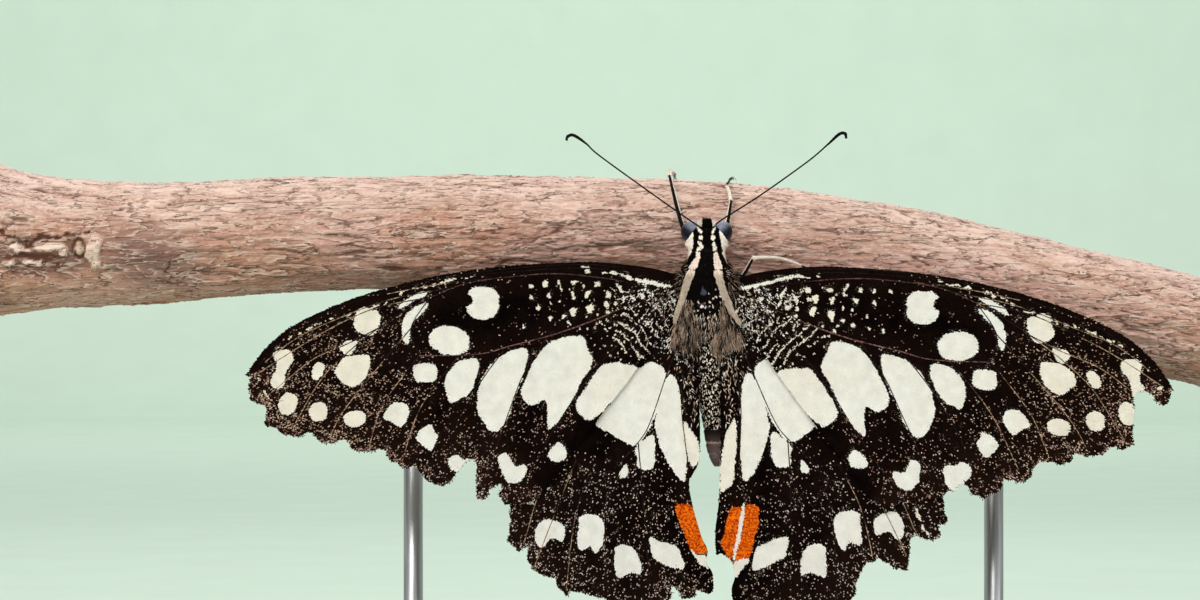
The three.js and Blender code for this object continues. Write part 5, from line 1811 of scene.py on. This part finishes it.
def bark_material():
    """Pinkish bark with painted light on its top, in thin flakes: each rises to a lip with a painted
    highlight and drops into a crack with painted shade.
    """
    nodes = Nodes("bark", 0.85, 0.1)
    light, dark, tone, knot = nodes.marks()
    body = nodes.mix(tone, srgb(188, 139, 117), srgb(198, 156, 142))
    # The light mark paints the top and the raised parts paler: painted light.
    colour = nodes.mix(light, body, srgb(240, 210, 194))
    colour = nodes.mix(knot, colour, srgb(116, 84, 76))
    relief = nodes.mix(0.25, BLACK, nodes.noise(5200, 5, (0.2, 1, 1)))
    for scale, layers in ((260, 11.0), (700, 9.0)):
        flake = nodes.math("FRACT", nodes.math("MULTIPLY", nodes.noise(scale, 5, (0.15, 1, 1)), layers))
        broken = nodes.ramp(nodes.noise(1.7 * scale, 3, (0.3, 1, 1)), (0.38, BLACK), (0.54, WHITE))
        # Each flake gets a painted highlight on its lip and painted shade in the crack below it.
        crack = nodes.ramp(flake, (0.0, WHITE), (0.2, BLACK))
        lip = nodes.ramp(flake, (0.75, BLACK), (0.97, (0.5, 0.5, 0.5, 1)))
        crack = nodes.mix(1.0, crack, broken, "MULTIPLY")
        colour = nodes.mix(lip, colour, srgb(240, 214, 198))
        colour = nodes.mix(crack, colour, srgb(96, 62, 46))
        relief = nodes.mix(0.5, relief, nodes.mix(1.0, flake, broken, "MULTIPLY"), "ADD")
    # The dark mark paints the cracks and hollows darker: painted shade.
    colour = nodes.mix(dark, colour, srgb(96, 60, 46))
    nodes.bump(relief, 0.9, 0.0003)
    return nodes.colour(colour)


def cut_material():
    nodes = Nodes("cut_wood", 0.75, 0.3)
    rings, dark, _, _ = nodes.marks()
    colour = nodes.mix(rings, srgb(226, 198, 168), srgb(192, 154, 122))
    colour = nodes.mix(dark, colour, srgb(112, 80, 62))
    nodes.bump(nodes.noise(4200, 4), 0.5, 0.00008)
    return nodes.grained(colour, 4200, 4, (0.6, 0.55, 0.5), 0.36, 0.5)


def make_perch():
    """The branch: its bark, and the two sawn ends in a second material."""
    steps, sides, cap_rings = (PERCH_MESH[key] for key in ("steps", "sides", "cap_rings"))
    x = np.linspace(BRANCH[0][0], BRANCH[-1][0], steps)
    angle = np.linspace(0, 2 * np.pi, sides, endpoint=False)
    x, angle = pairs(x, angle).reshape(-1, 2).T
    height, marks = bark(x, angle)
    z, radius = perch_axis(x)
    reach = radius + height
    points = np.stack([x, PERCH_Y + reach * np.cos(angle), z + reach * np.sin(angle)], 1)
    shape = Shape()
    shape.add(points, [grid_faces(steps, sides, wrap=True)[:, ::-1]], marks)
    for first, sign in ((0, -1), ((steps - 1) * sides, 1)):
        rim = points[first : first + sides]
        middle = np.array([rim[0, 0], PERCH_Y, perch_axis(rim[0, 0])[0]])
        shares = np.linspace(1, 0, cap_rings + 1)[:-1]
        rings = (middle + (rim - middle) * shares[:, None, None]).reshape(-1, 3)
        reach = np.linalg.norm(rings[:, 1:] - middle[1:], axis=1)
        wobble = 0.35 * rough(rings, 3.0, 300)
        year = 0.5 + 0.5 * np.sin((reach + wobble) * 7.5)
        skin = smooth(0.9, 0.97, np.repeat(shares, sides))
        inner = rings + np.array([sign * -0.03, 0, 0]) * (year * (np.repeat(shares, sides) < 1))[:, None]
        faces = grid_faces(cap_rings, sides, wrap=True)
        tips = fan_faces(cap_rings * sides, np.arange(sides) + (cap_rings - 1) * sides)
        if sign > 0:
            faces, tips = faces[:, ::-1], tips[:, ::-1]
        shape.add(np.concatenate([inner, [middle]]), [faces, tips],
                  np.concatenate([mark_rows(year, skin, 0, 0), [[0.5, 0, 0, 0]]]))
    piece = shape.piece("perch_bark", bark_material(), "branch", ["perch"])
    piece.data.materials.append(cut_material())
    slots = np.zeros(len(piece.data.polygons), dtype=np.int32)
    slots[(steps - 1) * sides :] = 1
    piece.data.polygons.foreach_set("material_index", slots)


# ---- Stand --------------------------------------------------------------------------------------------
def base_wood_material():
    nodes = Nodes("base_wood", 0.38, 0.5, coat_weight=0.25)
    grain = nodes.noise(260, 6, (0.16, 1, 1))
    colour = nodes.ramp(grain, (0.3, srgb(34, 27, 24)), (0.5, srgb(54, 42, 36)), (0.7, srgb(72, 56, 46)))
    nodes.bump(nodes.noise(1500, 4, (0.08, 1, 1)), 0.3, 0.0001)
    return nodes.grained(colour, 1500, 4, (0.6, 0.6, 0.6), 0.36, 0.46, (0.08, 1, 1))


def steel_material():
    nodes = Nodes("brushed_steel", 0.32, metallic=1.0)
    brushed = nodes.noise(3000, 3, (1, 1, 0.04))
    colour = nodes.ramp(brushed, (0.35, srgb(176, 178, 178)), (0.65, srgb(212, 214, 212)))
    nodes.bump(brushed, 0.25, 0.00003)
    return nodes.colour(colour)


def turned(shape, centre, profile, sides=64):
    """A solid of revolution about a standing axis, from rows of (radius, height)."""
    angle = np.linspace(0, 2 * np.pi, sides, endpoint=False)
    rows = np.array(profile, dtype=float)
    points = np.stack([
        centre[0] + rows[:, None, 0] * np.cos(angle), centre[1] + rows[:, None, 0] * np.sin(angle),
        np.repeat(rows[:, 1:], sides, axis=1),
    ], axis=-1).reshape(-1, 3)
    ends = [(*centre, rows[0, 1]), (*centre, rows[-1, 1])]
    shape.add(np.concatenate([points, ends]), closed_faces(len(rows), sides))


def make_stand():
    """A plain wooden plate with rounded corners and edges, and two steel rods with collars."""
    width, depth, height, corner = (BASE[key] for key in ("width", "depth", "height", "corner"))
    turns = np.linspace(0, np.pi / 2, 13)
    rows = [(1.0, 0.0), (0.3, 0.25), (0.0, 0.8)]
    rows += [(BASE["bevel"] * (1 - math.cos(a)), height - BASE["bevel"] * (1 - math.sin(a))) for a in turns]
    rows += [(corner, height), (corner + 4, height)]
    rings = []
    for inset, z in rows:
        radius = max(corner - inset, 0.05)
        for quarter, (sx, sy) in enumerate(((1, 1), (-1, 1), (-1, -1), (1, -1))):
            centre = (sx * (width / 2 - inset - radius), sy * (depth / 2 - inset - radius))
            for a in turns + quarter * np.pi / 2:
                rings.append((centre[0] + radius * math.cos(a), centre[1] + radius * math.sin(a), z))
    plate = Shape()
    plate.add(rings + [(0, 0, 0), (0, 0, height)], closed_faces(len(rows), 4 * len(turns)))
    plate.piece("stand_base_plate", base_wood_material(), "stand_base", ["stand_base"])
    steel = steel_material()
    for name, x in (("stand_rod_left", -ROD["x"]), ("stand_rod_right", ROD["x"])):
        r = ROD["radius"]
        profile = [(r, 3.2), (r, height), (r + 1.3, height), (r + 1.5, height + 0.2)]
        profile += [(r + 1.5, height + 1.0), (r + 1.2, height + 1.3), (r + 0.1, height + 1.6)]
        profile += [(r, height + 1.9), (r, perch_axis(x)[0] - 4.5)]
        shape = Shape()
        turned(shape, (x, PERCH_Y), profile)
        shape.piece(name + "_steel", steel, "stand_rod", [name])


# ---- Stage, light and camera --------------------------------------------------------------------------
CAMERA = {"x": -10.7, "z": 46.0, "distance": 333.3, "lens": 100.0, "sensor": 36.0}
STAGE = {"front": -1000.0, "back": 1100.0, "half_width": 1300.0, "curve": 160.0, "height": 900.0}


def plain_material(name, colour, roughness):
    return Nodes(name, roughness).grained(colour, 60, 2, (0.97, 0.97, 0.97))


def make_stage():
    """A pale floor that curves up into a pale wall, well behind the stand."""
    bend = STAGE["curve"]
    angles = np.linspace(0, np.pi / 2, 25)
    rows = [(STAGE["front"], 0.0)]
    rows += [(STAGE["back"] - bend + bend * math.sin(a), bend - bend * math.cos(a)) for a in angles]
    rows += [(STAGE["back"], STAGE["height"])]
    wide = STAGE["half_width"]
    points = [(MM * x, MM * y, MM * z) for y, z in rows for x in (-wide, wide)]
    mesh = bpy.data.meshes.new("floor")
    mesh.from_pydata(points, [], grid_faces(len(rows), 2).tolist())
    mesh.shade_smooth()
    mesh.materials.append(plain_material("floor_paper", srgb(218, 236, 219), 0.9))
    linked("floor", mesh)


def aimed(thing, place, target):
    """Puts a light or the camera at its place, so that it looks at its target."""
    thing.location = [MM * v for v in place]
    way = Vector(target) - Vector(place)
    thing.rotation_euler = way.to_track_quat("-Z", "Y").to_euler()


# Area lights: each one's place, what it is aimed at, its size, power and colour.
MIDDLE = (-5, -5, 42)
LIGHTS = {
    "key_light": ((-160, -420, 520), MIDDLE, (420, 420), 2.75, (1.0, 0.985, 0.96)),
    "fill_light": ((420, -380, 120), MIDDLE, (500, 240), 0.5, (0.96, 0.98, 1.0)),
    "low_light": ((-260, -420, 125), MIDDLE, (500, 240), 0.45, (1.0, 0.95, 0.93)),
    "back_light": ((60, 300, 420), MIDDLE, (500, 300), 0.8, (1, 1, 1)),
    "wall_light": ((-10, 620, 500), (-10, 1100, 250), (900, 300), 1.95, (1, 1, 1)),
}


def make_lights():
    """The area lights, and a soft light from all around."""
    for name, (place, target, size, power, colour) in LIGHTS.items():
        light = bpy.data.lights.new(name, "AREA")
        light.shape = "RECTANGLE"
        light.size, light.size_y = (MM * v for v in size)
        light.energy = power
        light.color = colour
        aimed(linked(name, light), place, target)
    world = bpy.data.worlds.new("soft_sky")
    world.use_nodes = True
    background = world.node_tree.nodes["Background"]
    background.inputs["Color"].default_value = (0.95, 0.98, 1.0, 1)
    background.inputs["Strength"].default_value = 0.4
    bpy.context.scene.world = world
    bpy.context.scene.view_settings.view_transform = "Standard"


def make_camera():
    """The photo's camera: level, and straight in front of the photo's middle."""
    camera = bpy.data.cameras.new("camera")
    camera.lens = CAMERA["lens"]
    camera.sensor_width = CAMERA["sensor"]
    camera.clip_start = 0.01
    camera.clip_end = 5
    thing = linked("camera", camera)
    place = (CAMERA["x"], BUTTERFLY_Y - CAMERA["distance"], CAMERA["z"])
    aimed(thing, place, (CAMERA["x"], BUTTERFLY_Y, CAMERA["z"]))
    bpy.context.scene.camera = thing


make_camera()
make_lights()
make_stage()
make_perch()
make_stand()
butterfly_wings = [Wing(name) for name in WINGS]
make_wings(butterfly_wings)
make_body(butterfly_wings)
